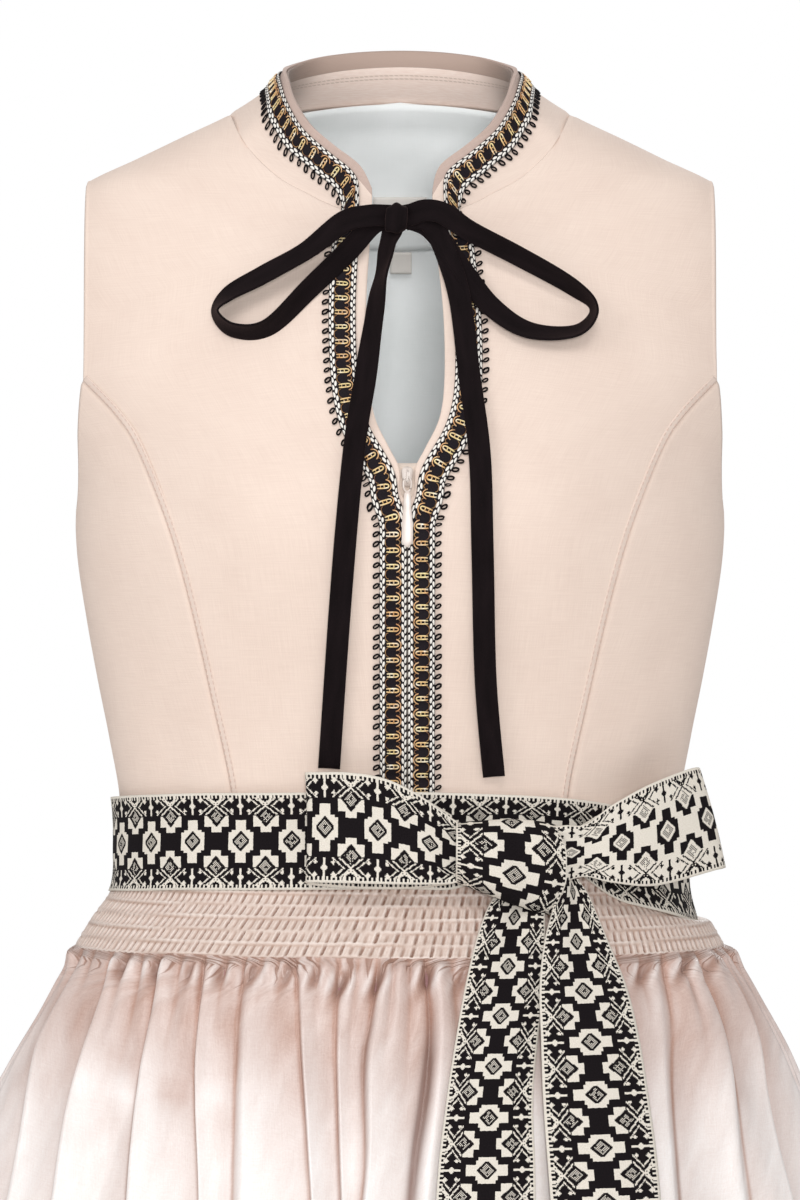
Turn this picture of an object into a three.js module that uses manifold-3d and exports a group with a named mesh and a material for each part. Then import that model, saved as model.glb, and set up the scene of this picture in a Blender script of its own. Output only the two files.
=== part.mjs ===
// A sleeveless dirndl: a princess-cut bodice with a stand collar and a keyhole over a zip, a braid
// round the whole opening, a velvet neck bow, a smocked satin apron tied with a woven ribbon, and
// a gathered midi skirt. The garment keeps the hollow shape that it has when it is worn.
// Millimetres, +Z up, the front faces -Y and the wearer's left side is +X. The origin is the middle
// of the neck, level with the foot of the collar at the shoulders.
import * as THREE from "three";
import { mergeVertices } from "three/addons/utils/BufferGeometryUtils.js";
import Module from "manifold-3d";

const wasm = await Module();
wasm.setup();

// ---- driving sizes ----

const clothWall = 1.5; // bodice and skirt cloth
const collarWall = 2; // two layers with interlining
const liningWall = 1;
const labelWall = 0.8;
const braidWall = 1;
const velvetWall = 1.2;
const ribbonWall = 1; // woven belt ribbon
const seamGap = 0.3; // between pieces that are sewn together
const layGap = 0.6; // between a piece and what lies flat on it
const liningGap = 2.8; // the lining hangs a little free of the bodice
const braidGap = 0.9;

const waistZ = -372; // seam of bodice and skirt, under the belt
const underarmZ = -207;
const skirtHemZ = -1042;
const apronHemZ = -1014;
const smockTopZ = -379; // the apron's smocked band starts under the belt ribbon
const smockBottomZ = -423;

const braidWidth = 15.5; // with its picots
const braidBorder = 5; // plain cloth between the opening and the braid
const velvetWidth = 10.5;
const ribbonWidth = 48.5;

const rad = THREE.MathUtils.degToRad;

// ---- the worn form ----

// The outside of the garment at each level: half of its width, its depth forward of the shoulder
// line and its depth behind it. Between the shoulder tips and the underarm the half width goes on
// past the armhole, which cuts it off.
const levels = [
  { z: 30, half: 50, front: 30, back: 50 },
  { z: 16, half: 58, front: 36, back: 53 },
  { z: 8, half: 66, front: 41, back: 57 },
  { z: 0, half: 75, front: 45, back: 61 },
  { z: -7, half: 85, front: 48, back: 66 },
  { z: -20, half: 111.8, front: 53, back: 71 },
  { z: -30, half: 132.3, front: 57, back: 75 },
  { z: -42, half: 157, front: 61, back: 79 },
  { z: -50, half: 164, front: 64, back: 81 },
  { z: -65, half: 171, front: 70, back: 84 },
  { z: -85, half: 176, front: 78, back: 88 },
  { z: -110, half: 178, front: 88, back: 91 },
  { z: -140, half: 176, front: 99, back: 94 },
  { z: -165, half: 170, front: 107, back: 95 },
  { z: -185, half: 164.5, front: 111, back: 95 },
  { z: -200, half: 162, front: 113, back: 94.5 },
  { z: -215, half: 162, front: 113, back: 93.5 },
  { z: -230, half: 161, front: 111.5, back: 92 },
  { z: -260, half: 156.5, front: 105, back: 87.5 },
  { z: -290, half: 151, front: 96, back: 82.5 },
  { z: -320, half: 145, front: 88, back: 78.5 },
  { z: -350, half: 140, front: 82.5, back: 76.5 },
  { z: -372, half: 140.5, front: 83, back: 78 },
  { z: -395, half: 142.3, front: 86.3, back: 83.3 },
  { z: -410, half: 152.5, front: 94, back: 93 },
  { z: -423, half: 160.5, front: 101, back: 101 },
  { z: -440, half: 171.5, front: 110.5, back: 112 },
  { z: -455, half: 179, front: 118, back: 120 },
  { z: -485, half: 192.5, front: 131.5, back: 136 },
  { z: -550, half: 218, front: 157, back: 163 },
  { z: -700, half: 265, front: 205, back: 212 },
  { z: -850, half: 305, front: 247, back: 255 },
  { z: -1042, half: 348, front: 292, back: 300 },
];

const bust = { x: 72, z: -205, wide: 38, tall: 50, proud: 6 }; // what the princess seams shape

// A smooth curve through one column of a table whose rows run down in z.
function column(table, name, z) {
  const last = table.length - 1;
  let i = 0;
  while (i < last - 1 && z < table[i + 1].z) i += 1;
  const slope = (a, b) => (table[b][name] - table[a][name]) / (table[b].z - table[a].z);
  const startSlope = i > 0 ? (slope(i - 1, i) + slope(i, i + 1)) / 2 : slope(i, i + 1);
  const endSlope = i < last - 1 ? (slope(i, i + 1) + slope(i + 1, i + 2)) / 2 : slope(i, i + 1);
  const span = table[i + 1].z - table[i].z;
  const t = THREE.MathUtils.clamp((z - table[i].z) / span, 0, 1);
  const s = t * t * (3 - 2 * t);
  return (
    table[i][name] * (1 - s) +
    table[i + 1][name] * s +
    span * (startSlope * t * (1 - t) * (1 - t) - endSlope * t * t * (1 - t))
  );
}

const half = (z) => column(levels, "half", z);

// A point of the form at an angle round the body (0 is the centre front, 90 the wearer's left side,
// 180 the centre back) and a level.
function formPoint(phi, z) {
  const across = half(z) * Math.sin(rad(phi));
  const along = Math.cos(rad(phi));
  if (along < 0) return new THREE.Vector3(across, -column(levels, "back", z) * along, z);
  const mound =
    bust.proud *
    Math.exp(-(((Math.abs(across) - bust.x) / bust.wide) ** 2) - ((z - bust.z) / bust.tall) ** 2);
  return new THREE.Vector3(across, -column(levels, "front", z) * along - mound * Math.sqrt(along), z);
}

// The outward normal of the form, from its slopes round the body and down it.
function formNormal(phi, z) {
  const step = 0.5;
  const round = formPoint(phi + step, z).sub(formPoint(phi - step, z));
  const up = formPoint(phi, z + step).sub(formPoint(phi, z - step));
  return round.cross(up).normalize();
}

// The angle whose front (or back) point lies at x on a level.
function phiAt(x, z, isBack = false) {
  const angle = THREE.MathUtils.radToDeg(Math.asin(THREE.MathUtils.clamp(x / half(z), -1, 1)));
  return isBack ? 180 - angle : angle;
}

const frontAt = (x, z) => formPoint(phiAt(x, z), z); // the front of the form at x and z

// ---- walls ----

// A closed wall of cloth. rows[j][i] holds { p, n }: a point of the outer face and its normal. The
// inner face lies a thickness inside it. A ring joins its last column to its first.
function wall(rows, thickness, isRing = false) {
  const height = rows.length;
  const width = rows[0].length;
  const spots = [];
  for (const depth of [0, thickness]) {
    for (const row of rows) {
      for (const { p, n } of row) spots.push(p.clone().addScaledVector(n, -depth));
    }
  }
  const at = (j, i, inner) => (inner ? height * width : 0) + j * width + (i % width);
  const faces = [];
  const quad = (a, b, c, d) => faces.push(a, b, c, a, c, d);
  const columns = isRing ? width : width - 1;
  for (let i = 0; i < columns; i += 1) {
    for (let j = 0; j < height - 1; j += 1) {
      quad(at(j, i), at(j, i + 1), at(j + 1, i + 1), at(j + 1, i));
      quad(at(j, i, 1), at(j + 1, i, 1), at(j + 1, i + 1, 1), at(j, i + 1, 1));
    }
    quad(at(0, i), at(0, i, 1), at(0, i + 1, 1), at(0, i + 1));
    quad(at(height - 1, i), at(height - 1, i + 1), at(height - 1, i + 1, 1), at(height - 1, i, 1));
  }
  for (let j = 0; j < height - 1 && !isRing; j += 1) {
    quad(at(j, 0), at(j + 1, 0), at(j + 1, 0, 1), at(j, 0, 1));
    quad(at(j, width - 1), at(j, width - 1, 1), at(j + 1, width - 1, 1), at(j + 1, width - 1));
  }
  return facingOut(spots, faces);
}

// Builds the mesh data, turned over where the faces would point inwards.
function facingOut(spots, faces) {
  let volume = 0;
  for (let k = 0; k < faces.length; k += 3) {
    const [a, b, c] = [spots[faces[k]], spots[faces[k + 1]], spots[faces[k + 2]]];
    volume += a.dot(b.clone().cross(c));
  }
  if (volume < 0) faces.reverse();
  const geometry = new THREE.BufferGeometry().setFromPoints(spots);
  geometry.setIndex(faces);
  return geometry;
}

// Draws the named edges of a grid in by half a seam gap, square to the seam and along the cloth.
function inset(rows, { bottom = 1, top = 1, left = 1, right = 1 } = {}) {
  const last = rows.length - 1;
  const end = rows[0].length - 1;
  const pull = (grid, j, i, dj, di, share) => {
    const { p, n } = grid[j][i];
    const along = di
      ? grid[Math.min(j + 1, last)][i].p.clone().sub(grid[Math.max(j - 1, 0)][i].p)
      : grid[j][Math.min(i + 1, end)].p.clone().sub(grid[j][Math.max(i - 1, 0)].p);
    const way = grid[j + dj][i + di].p.clone().sub(p).projectOnPlane(along.normalize()).normalize();
    return { p: p.clone().addScaledVector(way, (share * seamGap) / 2), n };
  };
  const sides = rows.map((row, j) =>
    row.map((spot, i) => {
      if (i === 0) return pull(rows, j, i, 0, 1, left);
      return i === end ? pull(rows, j, i, 0, -1, right) : spot;
    }),
  );
  return sides.map((row, j) =>
    row.map((spot, i) => {
      if (j === 0) return pull(sides, j, i, 1, 0, bottom);
      return j === last ? pull(sides, j, i, -1, 0, top) : spot;
    }),
  );
}

// A grid of { phi, z } between four edges (a Coons patch): bottom and top have as many points as
// each other, and so have left and right.
function patch(bottom, top, left, right) {
  const columns = bottom.length - 1;
  const rows = left.length - 1;
  return left.map((_, j) =>
    bottom.map((__, i) => {
      const u = i / columns;
      const v = j / rows;
      const mix = (name) => {
        const upDown = (1 - v) * bottom[i][name] + v * top[i][name];
        const across = (1 - u) * left[j][name] + u * right[j][name];
        const corners =
          (1 - v) * ((1 - u) * bottom[0][name] + u * bottom[columns][name]) +
          v * ((1 - u) * top[0][name] + u * top[columns][name]);
        return upDown + across - corners;
      };
      return { phi: mix("phi"), z: mix("z") };
    }),
  );
}

// A grid of { phi, z } laid on the form, moved out by a distance.
function onForm(grid, out = 0) {
  return grid.map((row) =>
    row.map(({ phi, z }) => {
      const n = formNormal(phi, z);
      return { p: formPoint(phi, z).addScaledVector(n, out), n };
    }),
  );
}

// Evenly spaced spots on a smooth line through rows of named numbers.
function spread(rows, count) {
  const names = Object.keys(rows[0]);
  return Array.from({ length: count + 1 }, (_, k) => {
    const s = (k / count) * (rows.length - 1);
    const i = Math.min(Math.floor(s), rows.length - 2);
    const t = s - i;
    const spot = {};
    for (const name of names) {
      const before = rows[Math.max(i - 1, 0)][name];
      const [a, b] = [rows[i][name], rows[i + 1][name]];
      const after = rows[Math.min(i + 2, rows.length - 1)][name];
      const [startSlope, endSlope] = [(b - before) / 2, (after - a) / 2];
      const ease = t * t * (3 - 2 * t);
      spot[name] =
        a * (1 - ease) + b * ease + startSlope * t * (1 - t) ** 2 - endSlope * t * t * (1 - t);
    }
    return spot;
  });
}

const mixSpots = (a, b, count) =>
  Array.from({ length: count + 1 }, (_, k) => ({
    phi: a.phi + ((b.phi - a.phi) * k) / count,
    z: a.z + ((b.z - a.z) * k) / count,
  }));

// ---- seam lines ----

// The front edges: how far each lies from the centre front line, which leans a little to the
// wearer's left. Closed over the zip, a slot for its slider, and the keyhole above it.
const openingRows = [
  { z: -64, gap: 14.8 },
  { z: -80, gap: 16.3 },
  { z: -110, gap: 18.6 },
  { z: -142, gap: 18.3 },
  { z: -162, gap: 15.6 },
  { z: -177, gap: 8.6 },
  { z: -187, gap: 3.7 },
  { z: -198, gap: 3.5 },
  { z: -205, gap: 0.2 },
  { z: -225, gap: 0.2 },
  { z: -255, gap: 0.2 },
  { z: -290, gap: 0.2 },
  { z: -320, gap: 0.2 },
  { z: -345, gap: 0.2 },
  { z: waistZ, gap: 0.2 },
];
const centreX = (z) => 1 + 2.5 * THREE.MathUtils.smoothstep(-z, 50, 170);

// The collar: the free edge and the seam from the front end of the collar round to the shoulder,
// seen from the front.
const collarFront = [
  { edgeX: 14.8, edgeZ: -49, seamX: 14.8, seamZ: -64 },
  { edgeX: 19.6, edgeZ: -37.5, seamX: 34, seamZ: -57 },
  { edgeX: 32.4, edgeZ: -27, seamX: 46.5, seamZ: -50.5 },
  { edgeX: 44.5, edgeZ: -16, seamX: 59.4, seamZ: -43 },
  { edgeX: 52.5, edgeZ: -3, seamX: 71.8, seamZ: -31 },
  { edgeX: 56.6, edgeZ: 8, seamX: 79.6, seamZ: -19.5 },
  { edgeX: 58.5, edgeZ: 15, seamX: 85, seamZ: -7 },
];
// The seam from the shoulder to the centre back, seen from the back.
const collarBack = [
  { x: 85, z: -7 },
  { x: 78, z: -5.5 },
  { x: 64, z: -2.5 },
  { x: 44, z: 1 },
  { x: 22, z: 3.2 },
  { x: 0, z: 4 },
];
const rim = { x: 58.5, y: 50, z: 15, rise: 13 }; // free edge behind the shoulders, a half ellipse

const shoulder = { neckZ: -7, tipZ: -42 }; // ends of the shoulder seam

const princessFront = spread(
  [
    { x: 80, z: waistZ },
    { x: 83, z: -340 },
    { x: 92, z: -297 },
    { x: 102, z: -252 },
    { x: 112.5, z: -215 },
    { x: 128, z: -177 },
    { x: 139, z: -160 },
    { x: 156.5, z: -142 },
  ],
  12,
);
const princessBack = spread(
  [
    { x: 50, z: waistZ },
    { x: 54, z: -325 },
    { x: 66, z: -265 },
    { x: 84, z: -213 },
    { x: 110, z: -168 },
    { x: 156.5, z: -128 },
  ],
  8,
);
const armholeTop = (from, count) =>
  spread(
    [
      { x: 156.5, z: from },
      { x: 156.3, z: from * 0.72 - 5 },
      { x: 156.8, z: -65 },
      { x: 157, z: shoulder.tipZ },
    ],
    count,
  );

const turn = (spot, side, isBack) => ({ phi: phiAt(side * spot.x, spot.z, isBack), z: spot.z });

// The armhole below a princess seam, a quarter oval down to the side seam at the underarm.
function armholeLow(start, under) {
  return mixSpots(start, under, 5).map(({ phi }, k) => ({
    phi,
    z: under.z + (start.z - under.z) * (1 - Math.sin((Math.PI * k) / 10)),
  }));
}

// The side seam from the waist to the underarm. Angles run on past 180 round the back.
const sideSeam = (phi, count) => mixSpots({ phi, z: waistZ }, { phi, z: underarmZ }, count);

// ---- bodice panels ----

function frontPanel(side) {
  const opening = [...openingRows].reverse().map(({ z, gap }) => {
    const x = centreX(z) + side * gap;
    return { phi: phiAt(x, z), z };
  });
  const seam = collarFront.slice(1).map((row) => turn({ x: row.seamX, z: row.seamZ }, side, false));
  const inner = [...opening, ...seam];
  inner[inner.length - 1] = { phi: side * 90, z: shoulder.neckZ };
  const princess = princessFront.map((spot) => turn(spot, side, false));
  const armhole = armholeTop(-142, inner.length - princess.length).slice(1, -1);
  const tip = { phi: side * 90, z: shoulder.tipZ };
  const outer = [...princess, ...armhole.map((spot) => turn(spot, side, false)), tip];
  const bottom = mixSpots(inner[0], outer[0], 5);
  const top = mixSpots(inner[inner.length - 1], outer[outer.length - 1], 5);
  return wall(inset(onForm(patch(bottom, top, inner, outer))), clothWall);
}

function sideFront(side) {
  const inner = princessFront.map((spot) => turn(spot, side, false));
  const outer = sideSeam(side * 90, inner.length - 1);
  const top = armholeLow(inner[inner.length - 1], outer[outer.length - 1]);
  return wall(inset(onForm(patch(mixSpots(inner[0], outer[0], 5), top, inner, outer))), clothWall);
}

function sideBack(side) {
  const inner = princessBack.map((spot) => turn(spot, side, true));
  const outer = sideSeam(180 - side * 90, inner.length - 1);
  const top = armholeLow(inner[inner.length - 1], outer[outer.length - 1]);
  return wall(inset(onForm(patch(mixSpots(inner[0], outer[0], 5), top, inner, outer))), clothWall);
}

// The wearer's left half of a back piece, from its outer edge to the centre back, and its mirror.
function mirrored(halfGrid) {
  return halfGrid.map((row) => [
    ...row,
    ...row
      .slice(0, -1)
      .reverse()
      .map(({ phi, z }) => ({ phi: 360 - phi, z })),
  ]);
}

const neckBack = collarBack.map((spot) => turn(spot, 1, true));
const shoulderBack = mixSpots({ phi: 90, z: shoulder.tipZ }, { phi: 90, z: shoulder.neckZ }, 3);

function backCentre() {
  const princess = princessBack.map((spot) => turn(spot, 1, true));
  const armhole = armholeTop(-128, 5).slice(2, -1);
  const outer = [...princess, ...armhole.map((spot) => turn(spot, 1, true)), ...shoulderBack];
  const centreLine = [waistZ, -60, 4].map((z) => ({ phi: 180, z }));
  const centre = spread(centreLine, outer.length - 1);
  const bottom = mixSpots(outer[0], centre[0], neckBack.length - 1);
  return wall(inset(onForm(mirrored(patch(bottom, neckBack, outer, centre)))), clothWall);
}

// ---- collar ----

const collarSag = 2.5; // how far the collar curves in between its edges

// The lines across the collar, from its front end on the wearer's left to the centre back: the
// free edge, the seam with its normal, and how far the cloth between them curves in.
function collarLines(side) {
  const front = collarFront.map((row, k) => {
    const lean = k === 0 ? centreX(row.seamZ) : 0;
    const phi = k === collarFront.length - 1 ? side * 90 : phiAt(lean + side * row.seamX, row.seamZ);
    return {
      edge: frontAt(lean + side * row.edgeX, row.edgeZ),
      seam: formPoint(phi, row.seamZ),
      n: formNormal(phi, row.seamZ),
      sag: (collarSag * k) / (collarFront.length - 1),
    };
  });
  const back = neckBack.slice(1).map(({ phi, z }, k) => {
    const lift = rad(((k + 1) * 90) / (neckBack.length - 1));
    const seamPhi = side > 0 ? phi : 360 - phi;
    const height = Math.sin(lift);
    return {
      edge: new THREE.Vector3(side * rim.x * Math.cos(lift), rim.y * height, rim.z + rim.rise * height ** 2),
      seam: formPoint(seamPhi, z),
      n: formNormal(seamPhi, z),
      sag: collarSag,
    };
  });
  return [...front, ...back];
}

// A point of the collar at a share of the way from its free edge (0) to its seam (1).
function collarPoint({ edge, seam, sag }, share) {
  const inwards = new THREE.Vector3(edge.x + seam.x, edge.y + seam.y, -40).normalize().negate();
  return edge.clone().lerp(seam, share).addScaledVector(inwards, sag * 4 * share * (1 - share));
}

// Normals of a grid of points, turned away from the middle of the garment.
function withNormals(points) {
  const rows = points.length - 1;
  const columns = points[0].length - 1;
  return points.map((row, j) =>
    row.map((p, i) => {
      const across = row[Math.min(i + 1, columns)].clone().sub(row[Math.max(i - 1, 0)]);
      const up = points[Math.min(j + 1, rows)][i].clone().sub(points[Math.max(j - 1, 0)][i]);
      const n = across.cross(up).normalize();
      const outwards = n.x * p.x + n.y * p.y;
      return { p, n: outwards < 0 ? n.negate() : n };
    }),
  );
}

// Both halves of the collar as one row of lines, round the back from front end to front end.
const collarRound = [...collarLines(1), ...collarLines(-1).slice(0, -1).reverse()];

function collar() {
  const shares = [1, 0.67, 0.33, 0];
  const grid = withNormals(shares.map((share) => collarRound.map((line) => collarPoint(line, share))));
  grid[0].forEach((spot, i) => spot.n.copy(collarRound[i].n));
  return wall(inset(grid, { top: 0 }), collarWall);
}

function collarFacing() {
  const shares = [0.9, 0.6, 0.3, 0.02];
  const lines = collarRound.slice(1, -1);
  const grid = withNormals(shares.map((share) => lines.map((line) => collarPoint(line, share))));
  for (const row of grid) for (const { p, n } of row) p.addScaledVector(n, -collarWall - layGap);
  return wall(grid, liningWall);
}

// ---- inside of the back ----

const lower = (spots, drop) => spots.map(({ phi, z }) => ({ phi, z: z - drop }));

function backLining() {
  const out = -clothWall - liningGap;
  const princessEnd = turn(princessBack[princessBack.length - 1], 1, true);
  const seam = sideSeam(91, 5);
  const low = armholeLow(princessEnd, { phi: 91, z: underarmZ }).reverse();
  const armhole = armholeTop(-128, 5)
    .slice(2, -1)
    .map(({ x, z }) => turn({ x: x - 3, z }, 1, true));
  const shoulder = mixSpots({ phi: 112, z: -50 }, { phi: 99, z: -9 }, 3);
  const outer = [...seam, ...low.slice(1), ...armhole, ...shoulder];
  const neck = lower(spread(neckBack, 4), 2.5);
  const centre = spread([{ phi: 180, z: waistZ }, { phi: 180, z: -90 }, neck[4]], outer.length - 1);
  const bottom = mixSpots(outer[0], centre[0], 4);
  const rows = patch(bottom, neck, outer, centre);
  return wall(inset(onForm(mirrored(rows), out)), liningWall);
}

const yoke = { half: 62, bottomZ: -69, curve: 8 }; // facing of the back neck, on the lining
const yokeOut = -clothWall - liningGap - liningWall - 2 * layGap;
const labelOut = yokeOut - liningWall - 2 * layGap;
const label = { left: -14, right: 14, topZ: -41, bottomZ: -53 };
const tab = { left: -5, right: 6, topZ: -69.6, bottomZ: -80.5 };

function yokeFacing() {
  const top = lower(spread(neckBack.slice(2), 4), 3);
  const cornerZ = yoke.bottomZ + yoke.curve;
  const corner = { phi: phiAt(yoke.half, cornerZ, true), z: cornerZ };
  const middle = { phi: (corner.phi + 180) / 2, z: yoke.bottomZ + yoke.curve / 4 };
  const outer = mixSpots(corner, top[0], 2);
  const centre = mixSpots({ phi: 180, z: yoke.bottomZ }, top[4], 2);
  const bottom = spread([corner, middle, centre[0]], 4);
  return wall(onForm(mirrored(patch(bottom, top, outer, centre)), yokeOut), liningWall);
}

// A small rectangle of cloth inside the centre back.
function backPatch({ left, right, topZ, bottomZ }, out, thickness) {
  const at = (x, z) => ({ phi: phiAt(x, z, true), z });
  const rows = [bottomZ, topZ].map((z) => [left, (left + right) / 2, right].map((x) => at(x, z)));
  return wall(onForm(rows, out), thickness);
}

// ---- braid ----

// The inner edge of the braid beside the opening: how far it lies from the centre front line.
const braidRows = [
  { z: -368, from: 0.5 },
  { z: -345, from: 0.5 },
  { z: -320, from: 0.5 },
  { z: -290, from: 0.5 },
  { z: -255, from: 0.5 },
  { z: -225, from: 0.5 },
  { z: -210, from: 0.8 },
  { z: -200, from: 4.2 },
  { z: -190, from: 5.4 },
  { z: -180, from: 10.5 },
  { z: -168, from: 17.5 },
  { z: -154, from: 21.9 },
  { z: -135, from: 23.6 },
  { z: -110, from: 23.6 },
  { z: -85, from: 21.9 },
  { z: -66, from: 20 },
];

function braidHalf(side) {
  const beside = braidRows.map(({ z, from }, k) => {
    const [a, b] = [braidRows[Math.max(k - 1, 0)], braidRows[Math.min(k + 1, braidRows.length - 1)]];
    const along = new THREE.Vector2(b.from - a.from, b.z - a.z).normalize();
    return [0, 1].map((share) => {
      const level = z - along.x * braidWidth * share;
      const x = centreX(z) + side * (from + along.y * braidWidth * share);
      const phi = phiAt(x, level);
      return { p: formPoint(phi, level), n: formNormal(phi, level) };
    });
  });
  const lines = collarLines(side);
  const points = lines.slice(1).map((line, k) => {
    const along = (lines[k + 2] ?? line).edge.clone().sub(lines[k].edge).normalize();
    const across = line.seam.clone().sub(line.edge);
    const reach = across.clone().projectOnPlane(along).length();
    const edges = [braidBorder, braidBorder + braidWidth];
    return edges.map((far) => collarPoint(line, Math.min(far / reach, 0.97)));
  });
  return [...beside, ...withNormals(points)];
}

function braid() {
  const rows = [...braidHalf(1), ...braidHalf(-1).slice(0, -1).reverse()];
  const raise = ({ p, n }) => ({ p: p.clone().addScaledVector(n, braidGap + braidWall), n });
  const grid = rows.map((row) => row.map(raise));
  return wall(grid, braidWall);
}

// ---- waist: smocked band, belt, skirts ----

const round = (count) => Array.from({ length: count }, (_, i) => (i * 360) / count);

// Height of the middle of the belt round the waist; it lies lower over the wearer's left hip.
const beltRows = [
  { phi: -90, z: -372.5 },
  { phi: -45, z: -368 },
  { phi: 0, z: -366 },
  { phi: 30, z: -369 },
  { phi: 60, z: -375 },
  { phi: 90, z: -381.5 },
  { phi: 135, z: -381 },
  { phi: 180, z: -378 },
  { phi: 225, z: -375 },
  { phi: 270, z: -372.5 },
];
function beltMiddle(phi) {
  const turned = ((phi + 90 + 360) % 360) - 90;
  const i = beltRows.findIndex((row, k) => k > 0 && row.phi >= turned);
  const [a, b] = [beltRows[i - 1], beltRows[i]];
  return THREE.MathUtils.mapLinear(turned, a.phi, b.phi, a.z, b.z);
}

const beltOuts = [
  { share: 1, out: 4.8 },
  { share: 0.4, out: 4 },
  { share: 0, out: 3.4 },
];

function belt() {
  const grid = beltOuts.map(({ share, out }) =>
    round(40).map((phi) => {
      const z = beltMiddle(phi) + ribbonWidth * (0.5 - share);
      const n = formNormal(phi, z);
      return { p: formPoint(phi, z).addScaledVector(n, out), n };
    }),
  );
  return wall(grid, ribbonWall, true);
}

const smock = { from: -100, to: 104, out: 1.7, wall: 1.2 };

function smockBand() {
  const levelsDown = [smockBottomZ + seamGap, -404, -388, smockTopZ];
  const rows = levelsDown.map((z) => mixSpots({ phi: smock.from, z }, { phi: smock.to, z }, 30));
  return wall(onForm(rows, smock.out), smock.wall);
}

const folds = { count: 20, columns: 80 };
const skirtRows = [
  { z: waistZ - seamGap, deep: 0 },
  { z: -388, deep: 0 },
  { z: -404, deep: 0 },
  { z: -423.5, deep: 0.3 },
  { z: -470, deep: 3 },
  { z: -560, deep: 6 },
  { z: -760, deep: 10 },
  { z: skirtHemZ, deep: 15 },
];

// A spot of the skirt: the form moved out and in by the folds, which wander as they run round.
function skirtSpot(index, { z, deep }, out) {
  const phi = (index * 360) / folds.columns;
  const wander = 0.9 * Math.sin(rad(3 * phi + 40)) + 0.5 * Math.sin(rad(7 * phi));
  const wave = Math.cos(rad(folds.count * phi) + wander) * (0.8 + 0.2 * Math.cos(rad(5 * phi + 70)));
  const n = formNormal(phi, z);
  return { p: formPoint(phi, z).addScaledVector(n, deep * wave + out), n };
}

function skirtPart(from, to, rows, out, thickness) {
  const indices = Array.from({ length: to - from + 1 }, (_, i) => from + i);
  const grid = [...rows].reverse().map((row) => indices.map((index) => skirtSpot(index, row, out)));
  return wall(inset(grid, { bottom: 0, top: 0 }), thickness);
}

const apronRows = [...skirtRows.slice(3, -1), { z: apronHemZ, deep: 14.4 }];

// ---- ribbons ----

// A strip of ribbon: rows run along it, each a list of points across it. Its faces keep one side
// up however it turns, and the wall lies half to each side of the points.
function strip(rows, thickness, isRing = false) {
  const count = rows.length;
  const grid = rows.map((row, j) => {
    const next = rows[isRing ? (j + 1) % count : Math.min(j + 1, count - 1)];
    const before = rows[isRing ? (j + count - 1) % count : Math.max(j - 1, 0)];
    return row.map((p, i) => {
      const across = row[Math.min(i + 1, row.length - 1)].clone().sub(row[Math.max(i - 1, 0)]);
      const n = across.cross(next[i].clone().sub(before[i])).normalize();
      return { p: p.clone().addScaledVector(n, thickness / 2), n };
    });
  });
  if (!isRing) return wall(grid, thickness);
  return wall(grid[0].map((_, i) => grid.map((row) => row[i])), thickness, true);
}

// Velvet ribbons of the neck bow. x and z as seen from the front, out is the distance in front of
// the bodice, and turn is how far the ribbon is twisted from facing forwards.
const velvetRows = {
  tie_base_right: [
    { x: -16.8, z: -57, out: 3.2, turn: 0 },
    { x: -13, z: -59, out: 6.5, turn: 0 },
    { x: -9.3, z: -60.8, out: 10.8, turn: 0 },
  ],
  tie_base_left: [
    { x: 18.4, z: -56, out: 3.2, turn: 0 },
    { x: 13, z: -58.5, out: 6.5, turn: 0 },
    { x: 7.4, z: -62, out: 10, turn: 0 },
  ],
  tie_loop_right: [
    { x: -6.9, z: -63, out: 14, turn: 0 },
    { x: -26.6, z: -66, out: 15, turn: 0 },
    { x: -46, z: -82.5, out: 13, turn: 0 },
    { x: -66, z: -93.5, out: 11, turn: 0 },
    { x: -82, z: -102, out: 10, turn: 30 },
    { x: -88, z: -110.5, out: 8, turn: 90 },
    { x: -80, z: -119, out: 6, turn: 150 },
    { x: -64, z: -118, out: 4.5, turn: 180 },
    { x: -44, z: -98.5, out: 4.5, turn: 180 },
    { x: -26.6, z: -79, out: 5.5, turn: 180 },
    { x: -9.2, z: -71, out: 5.8, turn: 180 },
  ],
  tie_loop_left: [
    { x: 5, z: -62.5, out: 14, turn: 0 },
    { x: 17, z: -61.5, out: 15, turn: 0 },
    { x: 33, z: -70.5, out: 14, turn: 0 },
    { x: 57, z: -83.5, out: 12, turn: 0 },
    { x: 83, z: -99.5, out: 10, turn: 15 },
    { x: 92.5, z: -109, out: 8, turn: 90 },
    { x: 84, z: -118.5, out: 6, turn: 165 },
    { x: 62, z: -118.5, out: 4.5, turn: 180 },
    { x: 44, z: -107.5, out: 4.5, turn: 180 },
    { x: 29, z: -88.5, out: 5.5, turn: 180 },
    { x: 11.5, z: -70, out: 6.5, turn: 180 },
  ],
  tie_tail_right: [
    { x: -4.8, z: -75.2, out: 8, turn: 0 },
    { x: -8.2, z: -88, out: 6, turn: 10 },
    { x: -12, z: -112, out: 4.4, turn: 0 },
    { x: -16.5, z: -142, out: 4, turn: -10 },
    { x: -22, z: -178, out: 4, turn: 0 },
    { x: -28.5, z: -250, out: 4.2, turn: 0 },
    { x: -34.3, z: -331.5, out: 4.2, turn: 0 },
  ],
  tie_tail_left: [
    { x: 9.8, z: -66.5, out: 11, turn: 0 },
    { x: 17, z: -78, out: 8.5, turn: 0 },
    { x: 28, z: -103, out: 5, turn: 0 },
    { x: 33.4, z: -142, out: 4.4, turn: 0 },
    { x: 38.2, z: -181, out: 4.2, turn: 0 },
    { x: 39.5, z: -226, out: 4, turn: 0 },
    { x: 41.2, z: -287, out: 4.2, turn: 0 },
    { x: 45.5, z: -335.6, out: 4.6, turn: 0 },
  ],
};

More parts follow.
